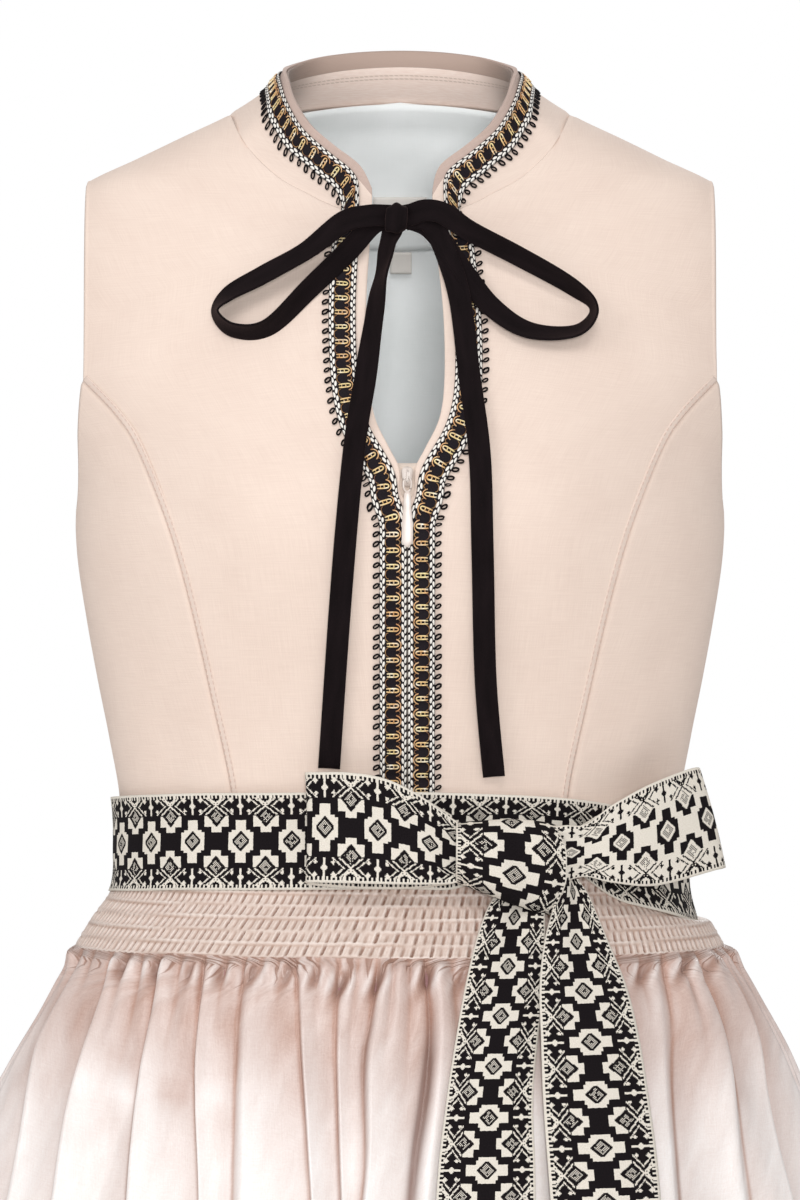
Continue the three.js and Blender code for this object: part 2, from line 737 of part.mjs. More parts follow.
function velvet(name, count) {
  const spots = spread(velvetRows[name], count);
  const middles = spots.map(({ x, z, out }) => frontAt(x, z).add(new THREE.Vector3(0, -out, 0)));
  const rows = spots.map(({ turn: twist }, j) => {
    const along = middles[Math.min(j + 1, count)].clone().sub(middles[Math.max(j - 1, 0)]).normalize();
    const flat = along.clone().cross(new THREE.Vector3(0, 1, 0)).normalize();
    const width = flat.applyAxisAngle(along, rad(twist));
    return [-0.5, 0.5].map((share) => middles[j].clone().addScaledVector(width, share * velvetWidth));
  });
  return strip(rows, velvetWall);
}

const velvetKnot = { x: -1, z: -66, out: 11, wide: 10, tall: 15.6, deep: 9 };

function tieKnot() {
  const { x, z, out, wide, tall, deep } = velvetKnot;
  const geometry = new THREE.CylinderGeometry(0.5, 0.5, wide, 12);
  geometry.rotateZ(Math.PI / 2);
  geometry.scale(1, deep, tall);
  const middle = frontAt(x, z);
  return geometry.translate(x, middle.y - out, z);
}

// The belt bow. Each row goes across the ribbon, from its upper to its lower edge.
const bowRows = {
  bow_loop_right: [
    { topX: 31, topZ: -358.5, lowX: 31, lowZ: -386, y: -97 },
    { topX: 22, topZ: -353, lowX: 22, lowZ: -386.8, y: -98 },
    { topX: 8, topZ: -343, lowX: 8, lowZ: -386.8, y: -102 },
    { topX: -8, topZ: -335.6, lowX: -8, lowZ: -386.6, y: -103 },
    { topX: -25, topZ: -333, lowX: -25, lowZ: -386.3, y: -100 },
    { topX: -40, topZ: -333, lowX: -40, lowZ: -386.2, y: -95 },
    { topX: -45, topZ: -333.2, lowX: -45, lowZ: -386.6, y: -90.5 },
    { topX: -41, topZ: -334, lowX: -41, lowZ: -388, y: -87.4 },
    { topX: -20, topZ: -337, lowX: -20, lowZ: -389.5, y: -89.8 },
    { topX: 5, topZ: -343, lowX: 5, lowZ: -389.5, y: -90.8 },
    { topX: 25, topZ: -354, lowX: 25, lowZ: -387, y: -91 },
  ],
  bow_loop_left: [
    { topX: 80, topZ: -357.6, lowX: 80, lowZ: -383, y: -87.6 },
    { topX: 90, topZ: -360, lowX: 90, lowZ: -383, y: -84 },
    { topX: 103, topZ: -349.5, lowX: 103, lowZ: -387, y: -81 },
    { topX: 122, topZ: -339.5, lowX: 124, lowZ: -388.5, y: -71 },
    { topX: 141, topZ: -332.8, lowX: 150, lowZ: -381.5, y: -55 },
    { topX: 146.5, topZ: -332.8, lowX: 156.5, lowZ: -379.5, y: -47 },
    { topX: 143, topZ: -335, lowX: 152, lowZ: -381.5, y: -42 },
    { topX: 122, topZ: -342, lowX: 124, lowZ: -386.5, y: -55.5 },
    { topX: 103, topZ: -351.5, lowX: 103, lowZ: -385, y: -68.5 },
    { topX: 88, topZ: -360, lowX: 88, lowZ: -382, y: -78 },
  ],
};

function bowLoop(name, count) {
  const rows = spread(bowRows[name], count).map(({ topX, topZ, lowX, lowZ, y }) => [
    new THREE.Vector3(topX, y, topZ),
    new THREE.Vector3(lowX, y, lowZ),
  ]);
  return strip(rows, ribbonWall);
}

// The knot of the belt bow: a flattened ring of ribbon round the roots of loops and tails. One row
// for each line along its width.
const knotLines = [
  { x: 27, y: -97, deep: 8.5 },
  { x: 56, y: -93.5, deep: 10 },
  { x: 85, y: -84, deep: 8.5 },
];
const knotRing = { z: -377.5, tall: 22.5, steps: 14 };

function bowKnot() {
  const rows = Array.from({ length: knotRing.steps }, (_, k) => {
    const angle = (2 * Math.PI * k) / knotRing.steps;
    const z = knotRing.z + knotRing.tall * Math.sin(angle);
    return knotLines.map(({ x, y, deep }) => new THREE.Vector3(x, y - deep * Math.cos(angle), z));
  });
  return strip(rows, ribbonWall, true);
}

// The ends of the belt bow, over the apron: left and right edge on each level as seen from the
// front, and the distance in front of the form.
const bowTailRows = {
  bow_tail_right: [
    { z: -400.4, left: 42.5, right: 68, out: 12 },
    { z: -416, left: 36, right: 70, out: 8.5 },
    { z: -436, left: 31, right: 69.8, out: 7 },
    { z: -459, left: 26.6, right: 66, out: 7.5 },
    { z: -489, left: 21.7, right: 63.2, out: 9 },
    { z: -531, left: 17, right: 63.8, out: 11 },
    { z: -620, left: 13.5, right: 61.8, out: 13 },
    { z: -720, left: 11.5, right: 60, out: 15 },
    { z: -812, left: 10, right: 58.5, out: 17 },
  ],
  bow_tail_left: [
    { z: -400.4, left: 71, right: 91, out: 13.2 },
    { z: -416, left: 70, right: 101, out: 11.5 },
    { z: -436, left: 66.5, right: 109, out: 10.5 },
    { z: -459, left: 68.5, right: 114.5, out: 10.5 },
    { z: -489, left: 65.5, right: 119, out: 11 },
    { z: -531, left: 71.8, right: 123.4, out: 12.5 },
    { z: -620, left: 78.5, right: 127.5, out: 14.5 },
    { z: -720, left: 82, right: 131, out: 16 },
    { z: -826, left: 84.5, right: 133.5, out: 18 },
  ],
};

function bowTail(name, count) {
  const rows = spread(bowTailRows[name], count).map(({ z, left, right, out }) =>
    [left, (left + right) / 2, right].map((x) => frontAt(x, z).add(new THREE.Vector3(0, -out, 0))),
  );
  return strip(rows, ribbonWall);
}

// ---- zip ----

const zip = { x: centreX(-190), half: 12 };
const tapeLevels = [-366, -345, -320, -290, -255, -225, -184];
const slider = { z: -191, wide: 5.6, tall: 10, deep: 3.8, proud: 2.2 }; // proud of the bodice
const bridge = { thick: 1.1, tall: 7.4, reach: 4.2 }; // the loop on the slider's face
const pull = { wide: 5.5, long: 34, thick: 1.1, bar: 1.2, window: 5, windowWide: 2.4, neck: 5.2 };

function zipTape() {
  const rows = tapeLevels.map((z) =>
    [-1, 0, 1].map((share) => ({ phi: phiAt(centreX(z) + share * zip.half, z), z })),
  );
  return wall(onForm(rows, -clothWall - layGap), liningWall);
}

const toSolid = (geometry) => {
  geometry.deleteAttribute("normal");
  geometry.deleteAttribute("uv");
  const merged = mergeVertices(geometry);
  return new wasm.Manifold(
    new wasm.Mesh({
      numProp: 3,
      vertProperties: merged.attributes.position.array,
      triVerts: new Uint32Array(merged.index.array),
    }),
  );
};

function fromSolid(solid) {
  const mesh = solid.getMesh();
  const geometry = new THREE.BufferGeometry();
  const positions = new Float32Array(mesh.vertProperties);
  geometry.setAttribute("position", new THREE.BufferAttribute(positions, 3));
  geometry.setIndex(new THREE.BufferAttribute(new Uint32Array(mesh.triVerts), 1));
  return geometry;
}

function box(wide, deep, tall, x, y, z) {
  return toSolid(new THREE.BoxGeometry(wide, deep, tall).translate(x, y, z));
}

const sliderFace = frontAt(zip.x, slider.z).y - slider.proud;
const pullAxis = new THREE.Vector3(zip.x, sliderFace - 1.6, slider.z - 0.6); // the tab turns here

// The slider stands in its slot between the fronts, and its bridge runs down its face.
function zipSlider() {
  const { z, wide, tall, deep } = slider;
  const body = box(wide, deep, tall, zip.x, sliderFace + deep / 2, z);
  const spanY = sliderFace - bridge.reach + bridge.thick / 2;
  const span = box(bridge.thick, bridge.thick, bridge.tall, zip.x, spanY, z);
  const legs = [-1, 1].map((end) => {
    const legZ = z + (end * (bridge.tall - bridge.thick)) / 2;
    return box(bridge.thick, bridge.reach, bridge.thick, zip.x, sliderFace - bridge.reach / 2 + 0.1, legZ);
  });
  return fromSolid(body.add(span).add(legs[0]).add(legs[1]));
}

// The tab hangs from its bar: a frame round a window, then a drop-shaped blade.
function zipPull() {
  const { wide, long, thick, bar, window: open, windowWide, neck } = pull;
  const shoulder = open + bar / 2 + 1;
  const outline = new THREE.Shape();
  outline.moveTo(-neck / 2, bar / 2);
  outline.lineTo(neck / 2, bar / 2);
  outline.lineTo(neck / 2, -shoulder);
  outline.quadraticCurveTo(wide / 2, -shoulder - 7, wide / 2, 7 - long);
  outline.quadraticCurveTo(wide / 2, 1 - long, 0, bar / 2 - long);
  outline.quadraticCurveTo(-wide / 2, 1 - long, -wide / 2, 7 - long);
  outline.quadraticCurveTo(-wide / 2, -shoulder - 7, -neck / 2, -shoulder);
  const gap = new THREE.Path();
  gap.moveTo(-windowWide / 2, -bar / 2);
  gap.lineTo(-windowWide / 2, -bar / 2 - open);
  gap.lineTo(windowWide / 2, -bar / 2 - open);
  gap.lineTo(windowWide / 2, -bar / 2);
  outline.holes.push(gap);
  const options = { depth: thick, bevelEnabled: false, curveSegments: 5 };
  const geometry = new THREE.ExtrudeGeometry(outline, options);
  geometry.translate(0, 0, -thick / 2);
  geometry.rotateX(Math.PI / 2);
  geometry.translate(pullAxis.x, pullAxis.y, pullAxis.z);
  return fromSolid(toSolid(geometry));
}

const model = new THREE.Group();
function add(name, geometry, color, roughness = 0.9, metalness = 0) {
  const material = new THREE.MeshStandardMaterial({ color, roughness, metalness });
  const mesh = new THREE.Mesh(geometry, material);
  mesh.name = name;
  model.add(mesh);
  return mesh;
}

const linen = "#ecd9ca";
const lining = "#c9ccc8";
const satin = "#e2cfc6";
const mauve = "#9c7474";
const velvetBlack = "#15100f";
const jacquard = "#4a4542";
const enamel = "#efe6dd";
add("front_left", frontPanel(1), linen);
add("front_right", frontPanel(-1), linen);
add("side_front_left", sideFront(1), linen);
add("side_front_right", sideFront(-1), linen);
add("side_back_left", sideBack(1), linen);
add("side_back_right", sideBack(-1), linen);
add("back_centre", backCentre(), linen);
add("collar", collar(), linen);
add("collar_facing", collarFacing(), "#d9bfb1");
add("back_lining", backLining(), lining);
add("back_neck_facing", yokeFacing(), lining);
add("neck_label", backPatch(label, labelOut, labelWall), "#dcd6cf");
add("size_tab", backPatch(tab, yokeOut, labelWall), "#e4d8c8");
add("braid", braid(), "#2a2422");
add("belt", belt(), jacquard);
add("smocked_band", smockBand(), satin, 0.5);
add("apron_skirt", skirtPart(-22, 23, apronRows, 2.2, 1.2), satin, 0.5);
add("skirt_front", skirtPart(-20, 20, skirtRows, 0, clothWall), mauve, 0.7);
add("skirt_back", skirtPart(20, 60, skirtRows, 0, clothWall), mauve, 0.7);
add("zip_tape", zipTape(), "#e3d3c6");
add("zip_slider", zipSlider(), enamel, 0.4);
add("zip_pull", zipPull(), enamel, 0.4);
const velvetSteps = { tie_base: 3, tie_loop: 16, tie_tail: 10 };
for (const [kind, steps] of Object.entries(velvetSteps)) {
  for (const side of ["right", "left"]) {
    const name = `${kind}_${side}`;
    add(name, velvet(name, steps), velvetBlack);
  }
}
add("tie_knot", tieKnot(), velvetBlack);
add("bow_knot", bowKnot(), jacquard);
for (const name of Object.keys(bowRows)) add(name, bowLoop(name, 14), jacquard);
for (const name of Object.keys(bowTailRows)) add(name, bowTail(name, 9), jacquard);

export default model;
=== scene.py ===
# A sleeveless dirndl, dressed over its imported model: linen bodice, braid, velvet bow, smocked satin
# apron, woven belt ribbon and gathered skirt. Tables are in millimetres and meshes in metres.
# The dress faces -Y and the wearer's left side is +X.
import math
import bmesh
import bpy
import numpy as np
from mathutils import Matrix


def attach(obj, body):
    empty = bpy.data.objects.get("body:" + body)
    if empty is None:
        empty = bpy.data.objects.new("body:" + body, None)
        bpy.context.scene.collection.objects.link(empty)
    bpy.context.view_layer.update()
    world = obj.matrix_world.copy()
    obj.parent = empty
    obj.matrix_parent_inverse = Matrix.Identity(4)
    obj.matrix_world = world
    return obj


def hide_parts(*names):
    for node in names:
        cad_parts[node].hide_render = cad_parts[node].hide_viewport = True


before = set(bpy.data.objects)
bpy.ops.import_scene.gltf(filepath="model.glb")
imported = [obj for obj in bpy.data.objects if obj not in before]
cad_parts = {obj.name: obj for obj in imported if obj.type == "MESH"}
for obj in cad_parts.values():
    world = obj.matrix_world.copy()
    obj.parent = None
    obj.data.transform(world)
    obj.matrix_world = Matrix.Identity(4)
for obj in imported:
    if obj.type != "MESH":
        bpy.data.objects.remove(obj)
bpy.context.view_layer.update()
print("frame: " + str(len(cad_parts)) + " nodes")

mm = 0.001
turnRound = 2 * math.pi
chance = np.random.default_rng(7)


def hermite(values, slopes, at, widths):
    # on each span a(1 - s) + bs + w(m0 t(1 - t)^2 - m1 t^2(1 - t)), where s = 3t^2 - 2t^3
    i = np.clip(np.floor(at).astype(int), 0, len(values) - 2)
    t = at - i
    s = t * t * (3 - 2 * t)
    bend = slopes[i] * t * (1 - t) ** 2 - slopes[i + 1] * t * t * (1 - t)
    return values[i] * (1 - s) + values[i + 1] * s + widths[i] * bend


def through(knots, values, at):
    # a smooth curve through the knots, whose slope at a knot is the mean of those to either side
    widths = np.diff(knots)
    secants = np.diff(values) / widths
    slopes = np.concatenate([secants[:1], (secants[:-1] + secants[1:]) / 2, secants[-1:]])
    at = np.clip(at, knots[0], knots[-1])
    i = np.clip(np.searchsorted(knots, at, side="left") - 1, 0, len(knots) - 2)
    share = (at - knots[i]) / widths[i] * 0.999999  # stays under 1, so it keeps to its own span
    return hermite(values, slopes, i + share, widths)


def along(rows, shares):
    # points at shares of the way down a table, each column smooth through its rows
    rows = np.asarray(rows, float)
    padded = np.concatenate([rows[:1], rows, rows[-1:]])
    slopes = (padded[2:] - padded[:-2]) / 2
    at = np.asarray(shares, float) * (len(rows) - 1)
    widths = np.ones(len(rows) - 1)
    return stacked(*[hermite(*column, at, widths) for column in zip(rows.T, slopes.T)])


def curve(rows, count):
    # count even steps along a table
    return along(rows, np.linspace(0, 1, count + 1))


def straight(start, end, shares):
    # start (1 - share) + end share
    return np.outer(1 - shares, start) + np.outer(shares, end)


def unit(vectors):
    # each vector over its own length
    lengths = np.linalg.norm(vectors, axis=-1, keepdims=True)
    return vectors / np.maximum(lengths, 1e-9)


def stacked(*columns):
    # numbers, lines or grids side by side as the columns of one table
    return np.stack(np.broadcast_arrays(*columns), -1)


def readAt(at, lengths, table):
    # each column of a table of rows at given lengths, read straight between them
    return stacked(*[np.interp(at, lengths, column) for column in table.T])


def bell(far, width, power=2):
    # exp(-(far / width)^power)
    return np.exp(-((far / width) ** power))


def sineOf(degrees):
    # of angles in degrees
    return np.sin(np.radians(degrees))


def ease(value, start, end):
    # 3t^2 - 2t^3, where t runs from 0 at the start to 1 at the end
    t = np.clip((value - start) / (end - start), 0, 1)
    return t * t * (3 - 2 * t)


# the worn form: level, half width, depth in front and depth behind
formLevels = np.array([
    [30, 50, 30, 50], [16, 58, 36, 53], [8, 66, 41, 57], [0, 75, 45, 61], [-7, 85, 48, 66],
    [-20, 111.8, 53, 71], [-30, 132.3, 57, 75], [-42, 157, 61, 79], [-50, 164, 64, 81],
    [-65, 171, 70, 84], [-85, 176, 78, 88], [-110, 178, 88, 91], [-140, 176, 99, 94],
    [-165, 170, 107, 95], [-185, 164.5, 111, 95], [-200, 162, 113, 94.5], [-215, 162, 113, 93.5],
    [-230, 161, 111.5, 92], [-260, 156.5, 105, 87.5], [-290, 151, 96, 82.5], [-320, 145, 88, 78.5],
    [-350, 140, 82.5, 76.5], [-372, 140.5, 83, 78], [-395, 142.3, 86.3, 83.3],
    [-410, 152.5, 94, 93], [-423, 160.5, 101, 101], [-440, 171.5, 110.5, 112],
    [-455, 179, 118, 120], [-485, 192.5, 131.5, 136], [-550, 218, 157, 163],
    [-700, 265, 205, 212], [-850, 305, 247, 255], [-1042, 348, 292, 300],
])
bust = {"x": 72, "z": -205, "wide": 38, "tall": 50, "proud": 6}


def levelAt(index, z):
    # a column of the form's table, read smoothly at any level
    return through(-formLevels[:, 0], formLevels[:, index], -np.asarray(z, float))


def formPoint(phi, z):
    # an ellipse round the body at each level, half sin(phi) across and depth cos(phi) forward, with
    # a soft mound on each side of the front
    turned = np.radians(phi)
    across = levelAt(1, z) * np.sin(turned)
    forward = np.cos(turned)
    mound = bust["proud"] * np.exp(
        -(((np.abs(across) - bust["x"]) / bust["wide"]) ** 2) - ((z - bust["z"]) / bust["tall"]) ** 2)
    depth = np.where(forward < 0, levelAt(3, z), levelAt(2, z)) * forward
    depth = depth + mound * np.sqrt(np.maximum(forward, 0))
    return stacked(across, -depth, np.broadcast_to(z, across.shape))


def formNormal(phi, z):
    # the cross product of small steps round the form and up it
    step = 0.5  # in degrees and in millimetres
    ahead = formPoint(phi + step, z) - formPoint(phi - step, z)
    up = formPoint(phi, z + step) - formPoint(phi, z - step)
    return unit(np.cross(ahead, up))


def phiAt(x, z, isBack=False):
    # arcsin(x / half width), and 180 degrees less that on the back
    angle = np.degrees(np.arcsin(np.clip(x / levelAt(1, z), -1, 1)))
    return 180 - angle if isBack else angle


def frontAt(x, z):
    # the form's front at x and z
    x, z = np.broadcast_arrays(np.asarray(x, float), np.asarray(z, float))
    return formPoint(phiAt(x, z), z)


def onForm(grid, out=0.0):
    # a grid of angle and level laid on the form, moved out along its normals
    phi, z = grid[..., 0], grid[..., 1]
    normals = formNormal(phi, z)
    return formPoint(phi, z) + normals * np.broadcast_to(out, phi.shape)[..., None]


def patch(bottom, top, left, right, shares):
    # a Coons patch: the two edge blends added, less the blend of the corners
    u = shares[None, :, None]
    v = np.linspace(0, 1, len(left))[:, None, None]
    upDown = (1 - v) * bottom[None] + v * top[None]
    sideways = (1 - u) * left[:, None] + u * right[:, None]
    lower, upper = (1 - u) * bottom[0] + u * bottom[-1], (1 - u) * top[0] + u * top[-1]
    corners = (1 - v) * lower + v * upper
    return upDown + sideways - corners


def gridNormals(points):
    # the cross product of the steps along a grid's rows and down its columns
    return unit(np.cross(np.gradient(points, axis=1), np.gradient(points, axis=0)))


def rowLengths(points):
    # distance along each row from its first point
    steps = np.linalg.norm(np.diff(points, axis=1), axis=-1)
    return np.concatenate([np.zeros((len(points), 1)), np.cumsum(steps, 1)], 1)


def columnLengths(points):
    # distance down each column from its first point
    return rowLengths(points.swapaxes(0, 1)).swapaxes(0, 1)


def addMesh(name, points, faces, faceUv=None, smooth=True):
    # points are in millimetres, faces are lists of point numbers, and faceUv has a row for each corner
    mesh = bpy.data.meshes.new(name)
    mesh.from_pydata((np.asarray(points, float) * mm).tolist(), [], faces)
    if faceUv is not None:
        layer = mesh.uv_layers.new(name="clothMap")
        layer.uv.foreach_set("vector", (faceUv * mm).astype(np.float32).ravel())
    mesh.polygons.foreach_set("use_smooth", [smooth] * len(mesh.polygons))
    piece = bpy.data.objects.new(name, mesh)
    bpy.context.scene.collection.objects.link(piece)
    return piece


def gridFaces(rows, columns, ring=False, closed=False):
    # each square of a grid as four point numbers, and the same squares on its map; a ring joins the
    # last column to the first, and a closed grid its last row to the first
    j, i = np.meshgrid(np.arange(rows - (not closed)), np.arange(columns - (not ring)), indexing="ij")
    corners = [(j, i), (j, i + 1), (j + 1, i + 1), (j + 1, i)]
    faces = stacked(*[a % rows * columns + b % columns for a, b in corners]).reshape(-1, 4)
    spots = stacked(*[a * (columns + ring) + b for a, b in corners]).reshape(-1, 4)
    return faces, spots


def surface(name, points, uv=None, ring=False, outward=None):
    # a grid of points as a mesh; its faces are turned to look along the outward vectors
    rows, columns = points.shape[:2]
    if uv is None:
        middle = columns // 2
        lengths = rowLengths(points)
        uv = stacked(lengths - lengths[:, middle:middle + 1], columnLengths(points))
    faces, spots = gridFaces(rows, columns, ring)
    flat = points.reshape(-1, 3)
    if outward is None:
        outward = points * [1, 1, 0]
    outward = np.broadcast_to(outward, points.shape).reshape(-1, 3)
    sides = flat[faces]
    normals = np.cross(sides[:, 2] - sides[:, 0], sides[:, 3] - sides[:, 1])
    if (normals * outward[faces[:, 0]]).sum() < 0:
        faces, spots = faces[:, ::-1], spots[:, ::-1]
    return addMesh(name, flat, faces.tolist(), uv.reshape(-1, 2)[spots.ravel()])


def tubeAlong(path, radius, sides, closed=False):
    # rings of points, radius (sideways cos a + upwards sin a) round a path, with its open ends capped
    path = np.asarray(path, float)
    if closed:
        ahead = np.roll(path, -1, 0) - np.roll(path, 1, 0)
    else:
        ahead = np.gradient(path, axis=0)
    ahead = unit(ahead)
    helper = np.where(np.abs(ahead[:, 2:3]) > 0.9, [[1.0, 0, 0]], [[0, 0, 1.0]])
    sideways = unit(np.cross(ahead, helper))
    upwards = np.cross(sideways, ahead)
    angles = np.arange(sides) * turnRound / sides
    ring = sideways[:, None] * np.cos(angles)[:, None] + upwards[:, None] * np.sin(angles)[:, None]
    points = (path[:, None] + ring * radius).reshape(-1, 3)
    faces = gridFaces(len(path), sides, True, closed)[0][:, ::-1].tolist()
    if not closed:
        faces += [list(range(sides)), list(range(len(points) - 1, len(points) - sides - 1, -1))]
    return points, faces


def repeated(points, faces, count):
    # point numbers of the same faces on each of count copies
    return [[index + k * len(points) for index in face] for k in range(count) for face in faces]


def thicken(piece, thickness, offset=-1.0, backSlot=0):
    # the cloth's wall, behind its face at offset -1 and half to each side at 0
    cloth = piece.modifiers.new("clothWall", "SOLIDIFY")
    cloth.thickness = thickness * mm
    cloth.offset = offset
    cloth.material_offset = backSlot
    cloth.use_even_offset = False


def finishPiece(piece, materials, slotName, *nodes, body="dress"):
    # materials, the body that carries the piece, its slot, which is not used, and the imported nodes
    # that it stands for
    for material in materials:
        piece.data.materials.append(material)
    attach(piece, body)
    if nodes:
        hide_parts(*nodes)


def report(stage):
    print("made: " + stage)


class Field:
    # a number that shader nodes work out at every point, so that a pattern reads as plain sums
    def __init__(self, tree, socket):
        self.tree = tree
        self.socket = socket

    def worked(self, operation, *others):
        node = self.tree.nodes.new("ShaderNodeMath")
        node.operation = operation
        for place, value in enumerate((self, *others)):
            if isinstance(value, Field):
                self.tree.links.new(value.socket, node.inputs[place])
            else:
                node.inputs[place].default_value = value
        return Field(self.tree, node.outputs[0])

    def __add__(self, other):
        return self.worked("ADD", other)

    def __sub__(self, other):
        return self.worked("SUBTRACT", other)

    def __mul__(self, other):
        return self.worked("MULTIPLY", other)

    def __truediv__(self, other):
        return self.worked("DIVIDE", other)

    def __abs__(self):
        return self.worked("ABSOLUTE")

    def below(self, limit):
        return self.worked("LESS_THAN", limit)

    def above(self, limit):
        return self.worked("GREATER_THAN", limit)

    def either(self, other):
        return self.worked("MAXIMUM", other)

    def wrapped(self, length):  # repeats from 0 to length
        return self.worked("WRAP", length, 0.0)

    def folded(self, length):  # runs from 0 to length and back again
        return self.worked("PINGPONG", length)

    def stepped(self, length):  # middle of the thread that the point falls in
        return ((self / length).worked("FLOOR") + 0.5) * length

    def squared(self):
        return self.worked("POWER", 2.0)

    def wave(self, length):
        return (self * (turnRound / length)).worked("SINE")


def linear(code):
    # a colour such as #ecd9ca as the shader's linear numbers
    parts = [int(code[k:k + 2], 16) / 255 for k in (1, 3, 5)]
    return [p / 12.92 if p <= 0.04045 else ((p + 0.055) / 1.055) ** 2.4 for p in parts] + [1.0]


def newMaterial(name, color, roughness, **sockets):
    # further sockets are given by name, with _ for a space
    material = bpy.data.materials.new(name)
    material.use_nodes = True
    tree = material.node_tree
    shader = tree.nodes["Principled BSDF"]
    shader.inputs["Base Color"].default_value = linear(color)
    shader.inputs["Roughness"].default_value = roughness
    for socket, value in sockets.items():
        shader.inputs[socket.replace("_", " ")].default_value = value
    return material, tree, shader


def placeFields(tree, socket):
    # the three numbers of a place, in millimetres
    parts = tree.nodes.new("ShaderNodeSeparateXYZ")
    tree.links.new(socket, parts.inputs[0])
    return [Field(tree, part) * 1000.0 for part in parts.outputs]


def clothMap(tree):
    # along and across the cloth, from the piece's own map
    node = tree.nodes.new("ShaderNodeUVMap")
    node.uv_map = "clothMap"
    return placeFields(tree, node.outputs[0])[:2]


def objectMap(tree):
    # along the piece's own three axes
    return placeFields(tree, tree.nodes.new("ShaderNodeTexCoord").outputs["Object"])


def marked(piece, name, values):
    # a number kept at every point of a mesh, for its material
    mark = piece.data.attributes.new(name, "FLOAT", "POINT")
    mark.data.foreach_set("value", np.asarray(values, np.float32).ravel())


def markField(tree, name):
    # the same number in the material
    node = tree.nodes.new("ShaderNodeAttribute")
    node.attribute_name = name
    return Field(tree, node.outputs["Fac"])


def noise(fields, lengths, detail=2.0):
    # soft random numbers from 0 to 1 whose spots are about the given lengths, in millimetres
    tree = fields[0].tree
    joined = tree.nodes.new("ShaderNodeCombineXYZ")
    for place, (field, length) in enumerate(zip(fields, lengths)):
        tree.links.new((field / length).socket, joined.inputs[place])
    node = tree.nodes.new("ShaderNodeTexNoise")
    node.inputs["Scale"].default_value = 1.0
    node.inputs["Detail"].default_value = detail
    tree.links.new(joined.outputs[0], node.inputs["Vector"])
    return Field(tree, node.outputs[0])


def blended(share, first, second):
    # first (1 - share) + second share, where either is a colour code or another blend
    tree = share.tree
    node = tree.nodes.new("ShaderNodeMix")
    node.data_type = "RGBA"
    tree.links.new(share.socket, node.inputs["Factor"])
    for place, color in (("A", first), ("B", second)):
        socket = next(s for s in node.inputs if s.name == place and s.type == "RGBA")
        if isinstance(color, str):
            socket.default_value = linear(color)
        else:
            tree.links.new(color, socket)
    return next(s for s in node.outputs if s.type == "RGBA")


def coated(shader, color, height, depth, strength):
    # the colour and a small relief, its depth in millimetres, go into the shader
    tree = height.tree
    tree.links.new(color, shader.inputs["Base Color"])
    node = tree.nodes.new("ShaderNodeBump")
    node.inputs["Strength"].default_value = strength
    node.inputs["Distance"].default_value = depth * mm
    tree.links.new(height.socket, node.inputs["Height"])
    tree.links.new(node.outputs[0], shader.inputs["Normal"])


def wovenCloth(name, light, dark, thread, roughness, sheen, slub, depth=0.12, **sockets):
    # plain weave: two crossing waves, with slubs as long thin spots along warp and weft
    material, tree, shader = newMaterial(name, light, roughness, Sheen_Weight=sheen, **sockets)
    u, v = clothMap(tree)
    slubLong, slubWide = thread * 26, thread * 0.9
    weft = noise((u, v), (slubLong, slubWide))
    warp = noise((u, v), (slubWide, slubLong))
    cloudy = noise((u, v), (38.0, 46.0), 3.0)
    streaks = (weft + warp) * 0.5 * slub + cloudy * (1.0 - slub)
    height = u.wave(thread) * v.wave(thread) * 0.5 + (weft + warp) * 1.2
    coated(shader, blended((streaks - 0.36) * 3.2, dark, light), height, depth, 0.5)
    return material


# name, light and dark colour, thread, roughness, sheen, share of slubs and depth of relief
linen = wovenCloth("bodiceLinen", "#f0dcce", "#e5cfc1", 0.62, 0.82, 0.06, 0.66)
# the collar's free-edge strip: the same linen made darker, painted shade of its rolled edge
shadedBorderLinen = wovenCloth("shadedBorderLinen", "#cdb6ab", "#bca498", 0.62, 0.82, 0.06, 0.6)
liningCloth = wovenCloth("liningCloth", "#fdffff", "#f1f4f3", 0.4, 0.6, 0.05, 0.3, 0.06)
foldLinen = wovenCloth("seamFoldLinen", "#ead7ca", "#dcc7ba", 0.62, 0.82, 0.06, 0.6)
tapeCloth = wovenCloth("zipTapeCloth", "#e9dacd", "#d6c4b6", 0.8, 0.8, 0.05, 0.3)
labelCloth = wovenCloth("labelCloth", "#f0ebe5", "#e4ddd6", 0.4, 0.5, 0.1, 0.3, 0.05)
stitchThread = wovenCloth("stitchThread", "#dfc6b8", "#cdb0a2", 0.3, 0.6, 0.05, 0.3)
mauveCloth = wovenCloth("skirtCloth", "#a97d7c", "#946b6b", 0.5, 0.6, 0.3, 0.82)


def gatherPits(u, v):
    # leaning wedges of shadow under the gathered seam, one or none to each stretch of cloth: each
    # is as wide as its top width times (1 - v / length)
    pits = u * 0.0
    for stretch, seed, sparse in ((9.7, 0.37, 0.12), (14.3, 0.71, 0.4)):
        cell = (u / stretch).worked("FLOOR") + seed
        first = ((cell * 12.99).worked("SINE") * 437.6).worked("FRACT")
        second = ((cell * 78.23).worked("SINE") * 291.7).worked("FRACT")
        share = v / (second * 13.0 + 8.0)
        aside = ((u / stretch).worked("FRACT") + first * 0.22 - 0.74) * stretch + v * 0.12
        reach = (share * -1.0 + 1.0) * (first + 1.3)
        pit = ((reach - abs(aside)) / 0.9).either(0.0).worked("MINIMUM", 1.0)
        pits = pits.either(pit * share.below(1.0) * first.above(sparse))
    return pits


# two tones of each satin's crests, and two darker tones of painted shade for its folds
satinTones = {
    "smockedSatin": (("#ead8cd", "#fbf0e8"), ("#93694f", "#b48a72")),
    "apronSatin": (("#f0e5e0", "#fbf7f5"), ("#ad8473", "#cba99a")),
}


